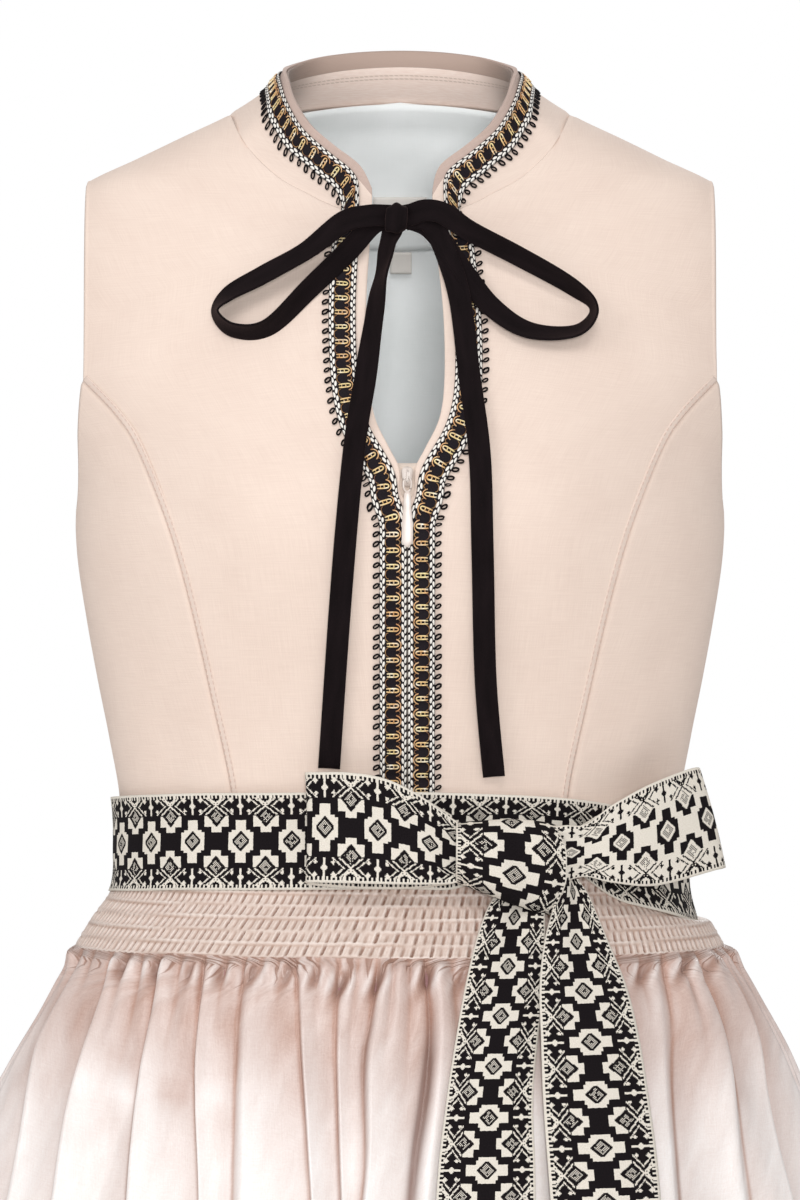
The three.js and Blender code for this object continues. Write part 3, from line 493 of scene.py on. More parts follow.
def satinCloth(name, isGathered):
    # warp satin: fine lengthwise threads under a soft gloss, pale on its crests, with painted shade in
    # its folds
    material, tree, shader = newMaterial(
        name, "#e6d2c8", 0.36, IOR=1.5, Specular_IOR_Level=0.75, Anisotropic=0.4)
    u, v = clothMap(tree)
    threads = noise((u, v), (0.35, 14.0))
    slubs = noise((u, v), (9.0, 0.6))
    flecks = noise((u, v), (0.9, 1.6), 3.0)
    clouds = noise((u, v), (26.0, 44.0), 3.0)
    share = (threads * 0.25 + slubs * 0.2 + clouds * 0.3 + flecks * 0.25 - 0.37) * 3.4
    # painted shade: how deep in a fold, crease or gather each point lies, kept as a mark on the mesh
    paintedFoldShade = markField(tree, "paintedFoldShade")
    height = threads * 0.6 + slubs * 0.5 + flecks * 1.1
    if isGathered:
        pits = gatherPits(u, v)
        drape = noise((u + v * 0.35, v - u * 0.2), (12.0, 30.0), 1.5)
        fading = (v * -0.11).worked("EXPONENT")
        fine = (u + drape * 1.5).wave(4.6) * fading
        # more painted shade in the pits and along the small gathers and the soft drape
        paintedFoldShade += pits * 0.5 - fine * 0.08 + (drape - 0.5) * 0.4
        height += drape * 22.0 + fine * 3.0 - pits * 6.0
    # the painted shade blends each crest tone into a darker rosy tone
    crest, paintedShadeTone = (blended(share, *tones) for tones in satinTones[name])
    color = blended(paintedFoldShade, crest, paintedShadeTone)
    # painted shadow along the creases and in the smocking slits, from the 'dark' mark
    color = blended(markField(tree, "dark"), color, "#7e6056")
    # painted shadow in the gather pits
    if isGathered:
        color = blended(pits * 0.5, color, "#8a6657")
    coated(shader, color, height, 0.1, 0.6 if isGathered else 0.35)
    return material


satin = satinCloth("smockedSatin", False)
apronSatin = satinCloth("apronSatin", True)


def velvetPile():
    # a short black nap, brushed in long soft streaks
    material, tree, shader = newMaterial(
        "velvetPile", "#15100f", 0.9, Sheen_Weight=0.6, Sheen_Roughness=0.45, Specular_IOR_Level=0.1)
    shader.inputs["Sheen Tint"].default_value = linear("#5e4a48")
    u, v = clothMap(tree)
    nap = noise((u, v), (0.5, 0.35), 3.0)
    brushed = noise((u, v), (24.0, 5.0))
    color = blended((nap * 0.5 + brushed * 0.5 - 0.3) * 2.4, "#0a0607", "#1c1416")
    coated(shader, color, nap, 0.3, 0.5)
    return material


velvet = velvetPile()

# the belt ribbon's chart, along the ribbon and out from its middle
ribbonChart = {
    "repeat": 26.4, "thread": 0.55, "selvedge": 22.9, "toothPitch": 2.2,
    "armHalf": 3.0, "armReach": 10.2, "blockHalf": 6.4, "blockReach": 4.2,
    "diamondLong": 4.9, "diamondTall": 5.5, "sideDiamondAt": 12.4, "sideBlockFrom": 7.4,
    "sideBlockTo": 12.6, "sideBarFrom": 4.6, "starAt": 17.8, "starReach": 4.4,
}


def ribbonPattern(u, v):
    # crosses with a diamond in them, half diamonds between, and a border of stars and dividers
    c = ribbonChart
    half, thread = c["repeat"] / 2, c["thread"]
    rough = noise((u, v), (1.4, 1.4), 1.0) * 0.5 - 0.25
    a = (u + rough).stepped(thread).folded(half)  # from a cross's middle line
    b = abs((v + rough).stepped(thread))  # from the ribbon's middle
    d = a * -1.0 + half  # from the line midway between crosses
    dots = (u.stepped(thread) + v.stepped(thread)).wrapped(2 * thread).below(thread * 0.9)
    arms = a.below(c["armHalf"]) * b.below(c["armReach"])
    block = a.below(c["blockHalf"]) * b.below(c["blockReach"])
    step = a.below((c["armHalf"] + c["blockHalf"]) / 2) * b.below(c["blockReach"] + 1.3)
    diamond = a / c["diamondLong"] + b / c["diamondTall"]
    cross = arms.either(block).either(step) * diamond.above(1.0)
    cross = cross.either(diamond.below(0.68) * diamond.above(0.2) * dots)
    sideFar = abs(b - c["sideDiamondAt"])
    sideDiamond = d / c["diamondLong"] + sideFar / c["diamondTall"]
    sideBlock = d.below(c["blockHalf"]) * b.above(c["sideBlockFrom"]) * b.below(c["sideBlockTo"])
    sideBar = d.below(c["armHalf"]) * b.above(c["sideBarFrom"]) * b.below(c["sideBlockTo"])
    side = sideBlock.either(sideBar) * sideDiamond.above(1.0)
    side = side.either(sideDiamond.below(0.66) * sideDiamond.above(0.16) * dots)
    starFar = abs(b - c["starAt"])
    slant = d - starFar * 1.25
    star = abs(slant).below(0.62).either(abs(slant - 3.4).below(0.5)) * starFar.below(c["starReach"])
    star = star * d.below(9.6)
    divider = a.below(0.5) * b.above(c["armReach"] + 3.2) * b.below(c["selvedge"])
    divider = divider.either((a + starFar).below(1.9))
    bead = (abs(a - 4.6) + abs(b - 15.2)).below(1.1).either((abs(a - 4.6) + abs(b - 20.4)).below(1.3))
    tooth = b.above(c["selvedge"] - 1.5) * u.wrapped(c["toothPitch"]).below(c["toothPitch"] * 0.42)
    arch = (d.squared() + (b - c["selvedge"]).squared()).worked("SQRT")
    arches = abs(arch - 3.4).below(0.55) * b.below(c["selvedge"])
    pattern = cross
    for figure in (side, star, divider, bead, tooth, arches):
        pattern = pattern.either(figure)
    return pattern, b.above(c["selvedge"])


def ribbonCloth(name, isReverse):
    # the chart in cream on black, and in black on cream behind
    material, tree, shader = newMaterial(name, "#e5ddd0", 0.8, Specular_IOR_Level=0.15)
    u, v = clothMap(tree)
    pattern, selvedge = ribbonPattern(u, v)
    if isReverse:
        pattern = pattern * -1.0 + 1.0
    cream = pattern.either(selvedge)
    grain = noise((u, v), (0.7, 0.35))
    tone = (grain - 0.3) * 2.5
    color = blended(cream, blended(tone, "#080306", "#181114"), blended(tone, "#d3cabc", "#ece5da"))
    ribs = u.wave(ribbonChart["thread"]) * v.wave(ribbonChart["thread"])
    coated(shader, color, cream * 0.6 + ribs * 0.2 + grain * 0.4, 0.16, 0.7)
    return material


ribbonFace = ribbonCloth("ribbonFace", False)
ribbonBack = ribbonCloth("ribbonBack", True)
report("cloths")

# levels that pieces share
waistZ, underarmZ, skirtHemZ, apronHemZ, smockBottomZ = -372, -207, -1042, -1014, -423
shoulder = {"neckZ": -7, "tipZ": -42}
# level of the opening's edge and its distance from the centre front
openingRows = [
    [-64, 14.8], [-80, 16.3], [-110, 18.6], [-142, 18.3], [-162, 15.6], [-177, 8.6], [-187, 3.7],
    [-198, 3.5], [-205, 0.2], [-225, 0.2], [-255, 0.2], [-290, 0.2], [-320, 0.2], [-345, 0.2],
    [waistZ, 0.2],
]
# free edge (x, z) and seam (x, z) of the collar from its front end to the shoulder
collarFront = np.array([
    [14.8, -49, 14.8, -64], [19.6, -37.5, 34, -57], [32.4, -27, 46.5, -50.5],
    [44.5, -16, 59.4, -43], [52.5, -3, 71.8, -31], [56.6, 8, 79.6, -19.5], [58.5, 15, 85, -7],
])
# x and z of the neck seam behind, from the shoulder to the centre back
collarBack = np.array([[85, -7], [78, -5.5], [64, -2.5], [44, 1], [22, 3.2], [0, 4]])
# x and z of the princess seams, from the waist up
princessFront = [
    [80, waistZ], [83, -340], [92, -297], [102, -252], [112.5, -215], [128, -177], [139, -160],
    [156.5, -142],
]
princessBack = [[50, waistZ], [54, -325], [66, -265], [84, -213], [110, -168], [156.5, -128]]


def centreX(z):
    # the centre front line, a little to the wearer's left lower down
    return 1 + 2.5 * ease(-np.asarray(z, float), 50, 170)


def armholeTop(start):
    # x and z of the armhole's edge, from a princess seam up to the shoulder's tip
    return [[156.5, start], [156.3, start * 0.72 - 5], [156.8, -65], [157, shoulder["tipZ"]]]


def turnedAt(x, z, isBack=False):
    # a grid of angle and level from one of x and z
    return stacked(phiAt(x, z, isBack), z)


def turned(xz, side, isBack=False):
    # the same for a table of x and z, on one side of the form
    xz = np.asarray(xz, float)
    return turnedAt(side * xz[:, 0], xz[:, 1], isBack)


def armholeLow(start, under, shares):
    # a quarter oval from a princess seam down to the side seam at the underarm
    rows = straight(start, under, shares)
    rows[:, 1] = under[1] + (start[1] - under[1]) * (1 - np.sin(np.pi * shares / 2))
    return rows


bodice = {
    "steps": 6,  # rows for each step of the seam tables
    "wall": 1.3, "seamDip": 0.9, "seamWide": 1.5,
    "ridgeAt": 1.9, "ridgeWide": 1.1, "ridgeProud": 0.45,  # the topstitched fold beside a seam
    "stitchLong": 2.2, "stitchPitch": 3.1, "stitchThick": 0.46, "stitchFrom": (0.9, 2.9),
}
# soft troughs and ridges of the bodice: from x, z to x, z, half width and depth (a ridge is negative)
frontCreases = [
    [-150, -152, -118, -196, 9, 0.9], [151, -158, 122, -203, 8, 0.8],
    [-62, -262, -52, -352, 11, 0.9], [57, -250, 50, -345, 12, 0.8],
    [-34, -300, -38, -362, 7, 0.6], [-118, -300, -104, -360, 9, 0.9],
    [120, -292, 108, -352, 9, -0.7], [-140, -250, -112, -290, 12, 0.8],
    [138, -262, 116, -296, 10, 0.8], [-96, -66, -60, -118, 16, 0.7],
    [92, -70, 64, -128, 15, 0.6], [30, -318, 33, -366, 6, 0.5], [-90, -180, -60, -235, 20, -0.7],
    [-128, -88, -150, -130, 10, 0.6], [130, -84, 150, -124, 9, 0.6],
]
backCreases = [
    [-128, -330, -60, -318, 9, 1.2], [118, -338, 40, -326, 10, 1.1], [-90, -352, 20, -348, 6, 0.8],
    [-30, -300, 52, -296, 10, 0.9], [-60, -80, -110, -120, 14, 0.9], [64, -76, 108, -112, 14, 0.8],
    [0, -120, 2, -240, 18, -0.8], [-142, -180, -110, -215, 10, 0.9], [142, -176, 108, -208, 11, 0.9],
    [-40, -262, -110, -272, 9, 0.7],
]


def troughs(points, rows):
    # how deep the creases are at each point: depth exp(-(distance / width)^2), thinned to each end
    flat = points[..., [0, 2]]
    deep = np.zeros(points.shape[:-1])
    for x1, z1, x2, z2, wide, depth in rows:
        start, run = np.array([x1, z1]), np.array([x2 - x1, z2 - z1])
        share = np.clip(((flat - start) @ run) / (run @ run), 0, 1)
        far = np.linalg.norm(flat - start - share[..., None] * run, axis=-1)
        taper = 0.35 + 0.65 * np.sin(np.pi * np.clip(share, 0.08, 0.92))
        deep += depth * taper * bell(far, wide)
    return deep


def clothRelief(grid, sewnLeft=1, sewnRight=1, sewnTop=0, ridge=None, creases=()):
    # distance out from the form: creases, dips at sewn edges and a ridge beside a topstitched one,
    # which is 0 for the left edge and 1 for the right
    points = formPoint(grid[..., 0], grid[..., 1])
    fromLeft, fromBottom = rowLengths(points), columnLengths(points)
    edges = [
        (sewnLeft, fromLeft), (sewnRight, fromLeft[:, -1:] - fromLeft),
        (sewnTop, fromBottom[-1:] - fromBottom),
    ]
    out = -troughs(points, creases)
    for sewn, far in edges:
        out -= sewn * bodice["seamDip"] * bell(far, bodice["seamWide"])
    if ridge is not None:
        fromRidge = edges[ridge][1] - bodice["ridgeAt"]
        out += bodice["ridgeProud"] * bell(fromRidge, bodice["ridgeWide"], 4)
    return out


# columns of a panel, closer together beside its seams
seamShares = np.concatenate([
    np.linspace(0, 0.055, 9)[:-1], np.linspace(0.055, 0.945, 27)[:-1], np.linspace(0.945, 1, 9)])
panelSteps = bodice["steps"]


def frontGrid(side):
    # a patch between the opening with the neck, the princess seam with the armhole, waist and shoulder
    z, far = curve(openingRows[::-1], 14 * panelSteps).T
    opening = turnedAt(centreX(z) + side * far, z)
    collarSeam = turned(curve(collarFront[:, 2:], 6 * panelSteps), side)[1:]
    inner = np.concatenate([opening, collarSeam])
    inner[-1] = [side * 90, shoulder["neckZ"]]
    princess = turned(curve(princessFront, 12 * panelSteps), side)
    armhole = turned(curve(armholeTop(princessFront[-1][1]), 8 * panelSteps), side)[1:]
    armhole[-1] = [side * 90, shoulder["tipZ"]]
    outer = np.concatenate([princess, armhole])
    bottom = straight(inner[0], outer[0], seamShares)
    top = straight(inner[-1], outer[-1], seamShares)
    return patch(bottom, top, inner, outer, seamShares)


def sideGrid(side, isBack):
    # a patch between a princess seam, the side seam, the waist and the armhole's low part
    seam, count = (princessBack, 8 * panelSteps) if isBack else (princessFront, 12 * panelSteps)
    inner = turned(curve(seam, count), side, isBack)
    phi = 180 - side * 90 if isBack else side * 90
    outer = straight([phi, waistZ], [phi, underarmZ], np.linspace(0, 1, count + 1))
    bottom = straight(inner[0], outer[0], seamShares)
    top = armholeLow(inner[-1], outer[-1], seamShares)
    return patch(bottom, top, inner, outer, seamShares)


def mirroredGrid(halfGrid):
    # a half that ends at 180 degrees, and its mirror image beyond
    other = halfGrid[:, -2::-1].copy()
    other[..., 0] = 360 - other[..., 0]
    return np.concatenate([halfGrid, other], 1)


def backGrid():
    # a patch from the princess seam, armhole and shoulder to the centre back, and its mirror image
    princess = turned(curve(princessBack, 8 * panelSteps), 1, True)
    armhole = turned(curve(armholeTop(princessBack[-1][1]), 5 * panelSteps), 1, True)[panelSteps:]
    armhole[-1] = [90, shoulder["tipZ"]]
    shares = np.linspace(0, 1, 3 * panelSteps + 1)
    shoulderSeam = straight([90, shoulder["tipZ"]], [90, shoulder["neckZ"]], shares)[1:]
    outer = np.concatenate([princess, armhole, shoulderSeam])
    shares = np.concatenate([np.linspace(0, 0.06, 8)[:-1], np.linspace(0.06, 1, 31)])
    centre = curve([[180, waistZ], [180, -60], [180, 4]], len(outer) - 1)
    bottom = straight(outer[0], centre[0], shares)
    neck = along(turned(collarBack, 1, True), shares)
    return mirroredGrid(patch(bottom, neck, outer, centre, shares))


def panel(name, grid, flat, area, node, **reliefValues):
    # the form at each point of the grid, moved out by the cloth's relief
    points = onForm(grid, clothRelief(grid, **reliefValues))
    piece = surface(name, points)
    thicken(piece, bodice["wall"], backSlot=1)
    finishPiece(piece, [linen, liningCloth], "linen", node)


bodiceSizes = {  # the cut of each panel: width and length, and its area in square metres
    "front": ((0.215, 0.38), 0.047), "sideFront": ((0.11, 0.235), 0.018),
    "sideBack": ((0.16, 0.25), 0.024), "back": ((0.36, 0.40), 0.088),
}
for side, word in ((1, "left"), (-1, "right")):
    panel("bodice_front_" + word, frontGrid(side), *bodiceSizes["front"], "front_" + word,
          sewnTop=1, sewnLeft=0.3, ridge=1, creases=frontCreases)
    panel("bodice_side_front_" + word, sideGrid(side, False), *bodiceSizes["sideFront"],
          "side_front_" + word, creases=frontCreases)
    panel("bodice_side_back_" + word, sideGrid(side, True), *bodiceSizes["sideBack"],
          "side_back_" + word, creases=backCreases)
panel("bodice_back", backGrid(), *bodiceSizes["back"], "back_centre",
      sewnTop=1, ridge=0, creases=backCreases)
report("bodice")


def stitchRow(phiZ, out, long, pitch, thick):
    # a row of stitches along a line on the form: each is a short six-sided bead, laid over its
    # frame of direction, outward normal and side; returns all of their points and faces
    line = formPoint(phiZ[:, 0], phiZ[:, 1])
    normals = formNormal(phiZ[:, 0], phiZ[:, 1])
    lengths = rowLengths(line[None])[0]
    count, sides = int(lengths[-1] / pitch), 6
    middles = (np.arange(count) + 0.5) * pitch
    before, middle, after = (readAt(middles + shift, lengths, line) for shift in (-0.5, 0, 0.5))
    up = unit(readAt(middles, lengths, normals))
    ahead = unit(after - before)
    sideways = np.cross(ahead, up)
    angles = np.arange(sides) * turnRound / sides
    places = np.array([-0.5, -0.3, 0, 0.3, 0.5]) * long
    sizes = np.array([0.15, 0.85, 1.0, 0.85, 0.15]) * thick / 2
    sink = np.array([-0.25, 0, 0.05, 0, -0.25]) * thick
    local = stacked(
        np.repeat(places, sides), np.outer(sizes, np.cos(angles)).ravel(),
        np.outer(sizes, np.sin(angles)).ravel() + np.repeat(sink, sides))
    frames = np.stack([ahead, sideways, up], 1)
    points = (middle + up * out)[:, None] + local @ frames
    faces = gridFaces(len(places), sides, True)[0].tolist()
    faces += [list(range(sides))[::-1], list(range(len(local) - sides, len(local)))]
    return points.reshape(-1, 3), repeated(local, faces, count)


def joinedRows(parts):
    # several sets of points and faces as one
    points, faces, start = [], [], 0
    for somePoints, someFaces in parts:
        points.append(somePoints)
        faces.extend([[index + start for index in face] for face in someFaces])
        start += len(somePoints)
    return np.concatenate(points), faces


def seamShifted(xz, shift):
    # a seam line moved sideways along the cloth, towards the middle of the body
    xz = np.asarray(xz, float).copy()
    run = unit(np.gradient(xz, axis=0))
    return xz + stacked(-run[:, 1], run[:, 0]) * shift


topstitches = []
for side in (1, -1):
    for shift in bodice["stitchFrom"]:
        for seam, isBack in ((princessFront, False), (princessBack, True)):
            xz = seamShifted(curve(seam, 80)[1:-2], shift)
            topstitches.append(stitchRow(
                turned(xz, side, isBack), 0.45, bodice["stitchLong"], bodice["stitchPitch"],
                bodice["stitchThick"]))
stitches = addMesh("princess_topstitches", *joinedRows(topstitches))
finishPiece(stitches, [stitchThread], "linen")

seamFold = {"from": 0.2, "wide": 3.4, "sunk": -0.35, "proud": 0.75, "wall": 0.3, "rows": 150}


def foldedSeam(name, seam, side, isBack):
    # the felled seam: a narrow strip beside the seam line, proud by 1 - (2 share - 1)^6 across it
    xz = curve(seam, seamFold["rows"])[:-1]
    share = np.linspace(0, 1, 9)[None, :, None]
    run = seamShifted(xz, 1.0) - xz
    lines = xz[:, None] + run[:, None] * (seamFold["from"] + share * seamFold["wide"])
    grid = turnedAt(side * lines[..., 0], lines[..., 1], isBack)
    out = seamFold["sunk"] + seamFold["proud"] * (1 - (2 * share[..., 0] - 1) ** 6)
    piece = surface(name, onForm(grid, out))
    thicken(piece, seamFold["wall"])
    finishPiece(piece, [foldLinen], "linen")


for side, word in ((1, "left"), (-1, "right")):
    foldedSeam("princess_fold_" + word, princessFront, side, False)
    foldedSeam("back_princess_fold_" + word, princessBack, side, True)


collar = {
    "sag": 6.0, "seamDip": 0.5, "dipWide": 1.4, "wall": 2.0, "rounding": 0.7, "steps": 9, "rows": 26,
    "edgeFrom": 0.72,  # share of the rows, from the seam, after which the darker linen of painted shade on the rolled free edge begins
    "facingWall": 0.9, "facingGap": 0.35, "facingRows": 22,
    "rimX": 58.0, "rimY": 50, "rimZ": 15, "rimRise": 13.2,
    "bandTall": 8.5, "stitchAt": 12.6, "stitchGap": 1.7,  # inside, measured from the rim
}


def collarLines(side):
    # free edge, seam and sag of the collar's lines from its front end to the centre back
    lean = np.where(np.arange(len(collarFront)) == 0, centreX(collarFront[:, 3]), 0)
    phi = phiAt(lean + side * collarFront[:, 2], collarFront[:, 3])
    phi[-1] = side * 90
    frontEdge = frontAt(lean + side * collarFront[:, 0], collarFront[:, 1])
    frontSeam = formPoint(phi, collarFront[:, 3])
    frontSag = collar["sag"] * np.linspace(0, 1, len(collarFront))
    backSpots = turned(collarBack, 1, True)[1:]
    lift = np.radians(np.arange(1, 6) * 18.0)
    backEdge = stacked(
        side * collar["rimX"] * np.cos(lift), collar["rimY"] * np.sin(lift),
        collar["rimZ"] + collar["rimRise"] * np.sin(lift))
    backPhi = backSpots[:, 0] if side > 0 else 360 - backSpots[:, 0]
    backSeam = formPoint(backPhi, backSpots[:, 1])
    sag = np.concatenate([frontSag, np.full(5, collar["sag"])])
    edge = np.concatenate([frontEdge, backEdge])
    seam = np.concatenate([frontSeam, backSeam])
    return np.concatenate([edge, seam, sag[:, None]], 1)


def collarAt(lines, shares):
    # points between free edge (0) and seam (1), curved in between them by the sag
    edge, seam, sag = lines[None, :, 0:3], lines[None, :, 3:6], lines[None, :, 6:7]
    outwards = np.concatenate([edge[..., :2] + seam[..., :2], np.full_like(sag, -40.0)], -1)
    share = np.asarray(shares, float)
    share = share[:, None, None] if share.ndim == 1 else share[..., None]
    return edge * (1 - share) + seam * share - unit(outwards) * sag * 4 * share * (1 - share)


def facingAway(points):
    # normals of a grid, turned away from the middle of the garment
    normals = gridNormals(points)
    wrong = (normals[..., :2] * points[..., :2]).sum(-1) < 0
    return np.where(wrong[..., None], -normals, normals)


collarLinesRound = np.concatenate([collarLines(1), collarLines(-1)[-2::-1]])
collarFine = curve(collarLinesRound, (len(collarLinesRound) - 1) * collar["steps"])

outerPoints = collarAt(collarFine, np.linspace(1, 0, collar["rows"]))
outerNormals = facingAway(outerPoints)
fromSeam = columnLengths(outerPoints)
seamDip = collar["seamDip"] * bell(fromSeam, collar["dipWide"])
outerPoints = outerPoints - outerNormals * seamDip[..., None]
outerCollar = surface("stand_collar", outerPoints, outward=outerNormals)
thicken(outerCollar, collar["wall"])
rounded = outerCollar.modifiers.new("roundedEdge", "BEVEL")
rounded.width = collar["rounding"] * mm
rounded.segments = 3
rounded.limit_method = "ANGLE"
rounded.angle_limit = math.radians(60)
# the rows beside the free edge take the darker linen, painted shade of the rolled edge
edgeRows = np.arange(collar["rows"] - 1) >= collar["rows"] * collar["edgeFrom"]
borderFaces = np.repeat(edgeRows, len(collarFine) - 1).astype(np.int32)
outerCollar.data.polygons.foreach_set("material_index", borderFaces)
finishPiece(outerCollar, [linen, shadedBorderLinen], "linen", "collar")


def facingCloth():
    # the inside of the collar: a darker band under the rim, two stitch lines, then a peach band
    material, tree, shader = newMaterial("collarFacingCloth", "#e0c6b6", 0.75, Sheen_Weight=0.1)
    u, v = clothMap(tree)
    grain = noise((u, v), (5.0, 0.7))
    band = v.below(collar["bandTall"])
    color = blended((grain - 0.3) * 2.2, "#f2dacd", "#fbe8dd")
    color = blended(band, color, "#b59d90")
    fromStitch = v - collar["stitchAt"]
    threads = abs(fromStitch).below(0.28).either(abs(fromStitch - collar["stitchGap"]).below(0.28))
    threads = threads * u.wrapped(2.6).below(1.9)
    color = blended(threads, color, "#d9c2b4")
    # painted shade, darker towards the collar's front corners, from the 'deep' mark
    deep = markField(tree, "deep") * (grain * 0.6 + 0.7)
    color = blended(deep, color, "#7c695e")
    coated(shader, color, grain * 0.4 + threads * -1.0 + band * 0.6, 0.3, 0.7)
    return material


facingPoints = collarAt(collarFine[6:-6], np.linspace(0.99, 0.03, collar["facingRows"]))
facingPoints = facingPoints - facingAway(facingPoints) * (collar["wall"] + collar["facingGap"])
facingUv = stacked(rowLengths(facingPoints), columnLengths(facingPoints[::-1])[::-1])
facing = surface("collar_inside", facingPoints, facingUv)
# painted shade inside the collar towards its front corners
paintedShadeShare = ease(np.abs(facingPoints[..., 0]), 34, 58) * (1 - ease(facingPoints[..., 1], 26, 46))
marked(facing, "deep", 0.62 * paintedShadeShare)
thicken(facing, collar["facingWall"])
finishPiece(facing, [facingCloth()], "peach_cloth", "collar_facing")
report("collar")

# how far out each layer inside the back lies, and the edges of its patches
inside = {
    "liningOut": -4.6, "liningWave": 0.6, "liningWall": 0.8, "yokeOut": -6.0, "labelOut": -7.6,
    "wall": 0.7, "yokeHalf": 62, "yokeBottom": -69, "yokeCurve": 8,
    "label": (-14, 14, -41, -53), "tab": (-5, 6, -69.6, -80.5),
}


def lowered(rows, drop):
    # a line of angle and level, moved down
    return rows - [0, drop]


liningSteps = 5
neckLine = turned(collarBack, 1, True)
seamUp = straight([91, waistZ], [91, underarmZ], np.linspace(0, 1, 5 * liningSteps + 1))
princessEnd = turned(princessBack[-1:], 1, True)[0]
lowArm = armholeLow(princessEnd, seamUp[-1], np.linspace(1, 0, 5 * liningSteps + 1))
highArm = curve(armholeTop(princessBack[-1][1]), 5 * liningSteps) - [3, 0]
highArm = turned(highArm, 1, True)[2 * liningSteps:-liningSteps]
shoulderLine = straight([112, -50], [99, -9], np.linspace(0, 1, 3 * liningSteps + 1))
liningOuter = np.concatenate([seamUp, lowArm[1:], highArm, shoulderLine])
liningShares = np.linspace(0, 1, 31)
liningNeck = lowered(along(neckLine, liningShares), -1.8)
liningCentre = curve([[180, waistZ], [180, -90], liningNeck[-1]], len(liningOuter) - 1)
liningBottom = straight(liningOuter[0], liningCentre[0], liningShares)
liningGrid = mirroredGrid(patch(liningBottom, liningNeck, liningOuter, liningCentre, liningShares))
liningWave = inside["liningWave"] * sineOf(liningGrid[..., 0] * 9) ** 2
lining = surface("back_inside", onForm(liningGrid, inside["liningOut"] - liningWave))
thicken(lining, inside["liningWall"])
finishPiece(lining, [liningCloth], "lining", "back_lining")

yokeCorner = turned([[inside["yokeHalf"], inside["yokeBottom"] + inside["yokeCurve"]]], 1, True)[0]
yokeMiddle = [(yokeCorner[0] + 180) / 2, inside["yokeBottom"] + inside["yokeCurve"] / 4]
yokeShares = np.linspace(0, 1, 25)
yokeTop = lowered(along(neckLine[2:], yokeShares), -1.4)
yokeBottom = along([yokeCorner, yokeMiddle, [180, inside["yokeBottom"]]], yokeShares)
yokeSide, yokeCentre = (straight(yokeBottom[end], yokeTop[end], yokeShares) for end in (0, -1))
yokeGrid = mirroredGrid(patch(yokeBottom, yokeTop, yokeSide, yokeCentre, yokeShares))
yoke = surface("back_neck_yoke", onForm(yokeGrid, inside["yokeOut"]))
thicken(yoke, inside["wall"])
finishPiece(yoke, [liningCloth], "lining", "back_neck_facing")


def backPatch(name, spot, out, node):
    # a small rectangle of cloth inside the centre back, its edges turned in
    left, right, topZ, bottomZ = spot
    x, z = np.meshgrid(np.linspace(left, right, 13), np.linspace(bottomZ, topZ, 11))
    border = np.minimum(np.minimum(x - left, right - x), np.minimum(z - bottomZ, topZ - z))
    piece = surface(name, onForm(turnedAt(x, z, True), out - 0.25 * ease(border, 0, 1.4)))
    thicken(piece, inside["wall"])
    finishPiece(piece, [labelCloth], "label_cloth", node)


backPatch("woven_label", inside["label"], inside["labelOut"], "neck_label")
backPatch("size_tab_cloth", inside["tab"], inside["labelOut"], "size_tab")
report("inside")

braid = {
    "width": 13.2, "columns": 18, "border": 5.0, "out": 1.35, "wall": 0.9, "step": 1.2,
    "bandWide": 2.7, "strandPitch": 3.75, "columnWide": 1.35, "cellPitch": 7.7,
    "goldThick": 0.4, "arcThick": 0.3, "picotPitch": 5.05, "picotAt": 14.75, "picotWide": 1.4,
    "picotTall": 0.95, "picotThick": 0.47, "picotTilt": 0.45,
}
braidFar = np.linspace(0, 16.5, 34)  # columns across it, on to the loops' outer edge
# level and distance of the braid's inner edge from the centre front line
braidRows = [
    [-368, 0.15], [-345, 0.15], [-320, 0.15], [-290, 0.15], [-255, 0.15], [-225, 0.15], [-210, 0.6],
    [-200, 4.2], [-190, 5.4], [-180, 10.5], [-168, 17.5], [-154, 21.9], [-135, 23.6], [-110, 23.6],
    [-85, 21.9], [-66, 20],
]


def braidHalf(side):
    # beside the opening the braid lies on the form, then it runs up and round the collar; each row
    # goes across it, from its inner to its outer edge
    rows = curve(braidRows, (len(braidRows) - 1) * 12)
    run = unit(stacked(np.gradient(rows[:, 1]), np.gradient(rows[:, 0])))
    far = braidFar[None, :]
    z = rows[:, 0:1] - run[:, 0:1] * far
    x = centreX(rows[:, 0:1]) + side * (rows[:, 1:2] + run[:, 1:2] * far)
    phi = phiAt(x, z)
    beside = np.concatenate([formPoint(phi, z), formNormal(phi, z)], -1)[:-6]
    lines = curve(collarLines(side), 11 * 20)
    edge, across = lines[:, 0:3], lines[:, 3:6] - lines[:, 0:3]
    ahead = unit(np.gradient(edge, axis=0))
    square = across - ahead * (across * ahead).sum(-1, keepdims=True)
    reach = np.linalg.norm(square, axis=-1)
    shares = np.minimum((braid["border"] + far) / reach[:, None], 0.985)
    points = collarAt(lines, shares.T).swapaxes(0, 1)
    # the collar's rows take over where the braid has passed the corner
    onCollar = np.concatenate([points, facingAway(points)], -1)[14:]
    return np.concatenate([beside, onCollar])


def evenRows(rows, step):
    # the same strip with rows a step apart along its middle, smoothed where two stretches join
    middle = rows[:, rows.shape[1] // 2, :3]
    lengths = rowLengths(middle[None])[0]
    at = np.linspace(0, lengths[-1], int(lengths[-1] / step) + 1)
    even = readAt(at, lengths, rows.reshape(len(rows), -1))
    kernel = np.array([1, 4, 6, 4, 1]) / 16
    for _ in range(3):
        padded = np.concatenate([even[:1], even[:1], even, even[-1:], even[-1:]])
        even = sum(weight * padded[k:k + len(even)] for k, weight in enumerate(kernel))
    return even.reshape(len(even), *rows.shape[1:]), at


braidStrip = np.concatenate([braidHalf(1), braidHalf(-1)[-2::-1]])
braidStrip, braidLengths = evenRows(braidStrip, braid["step"])


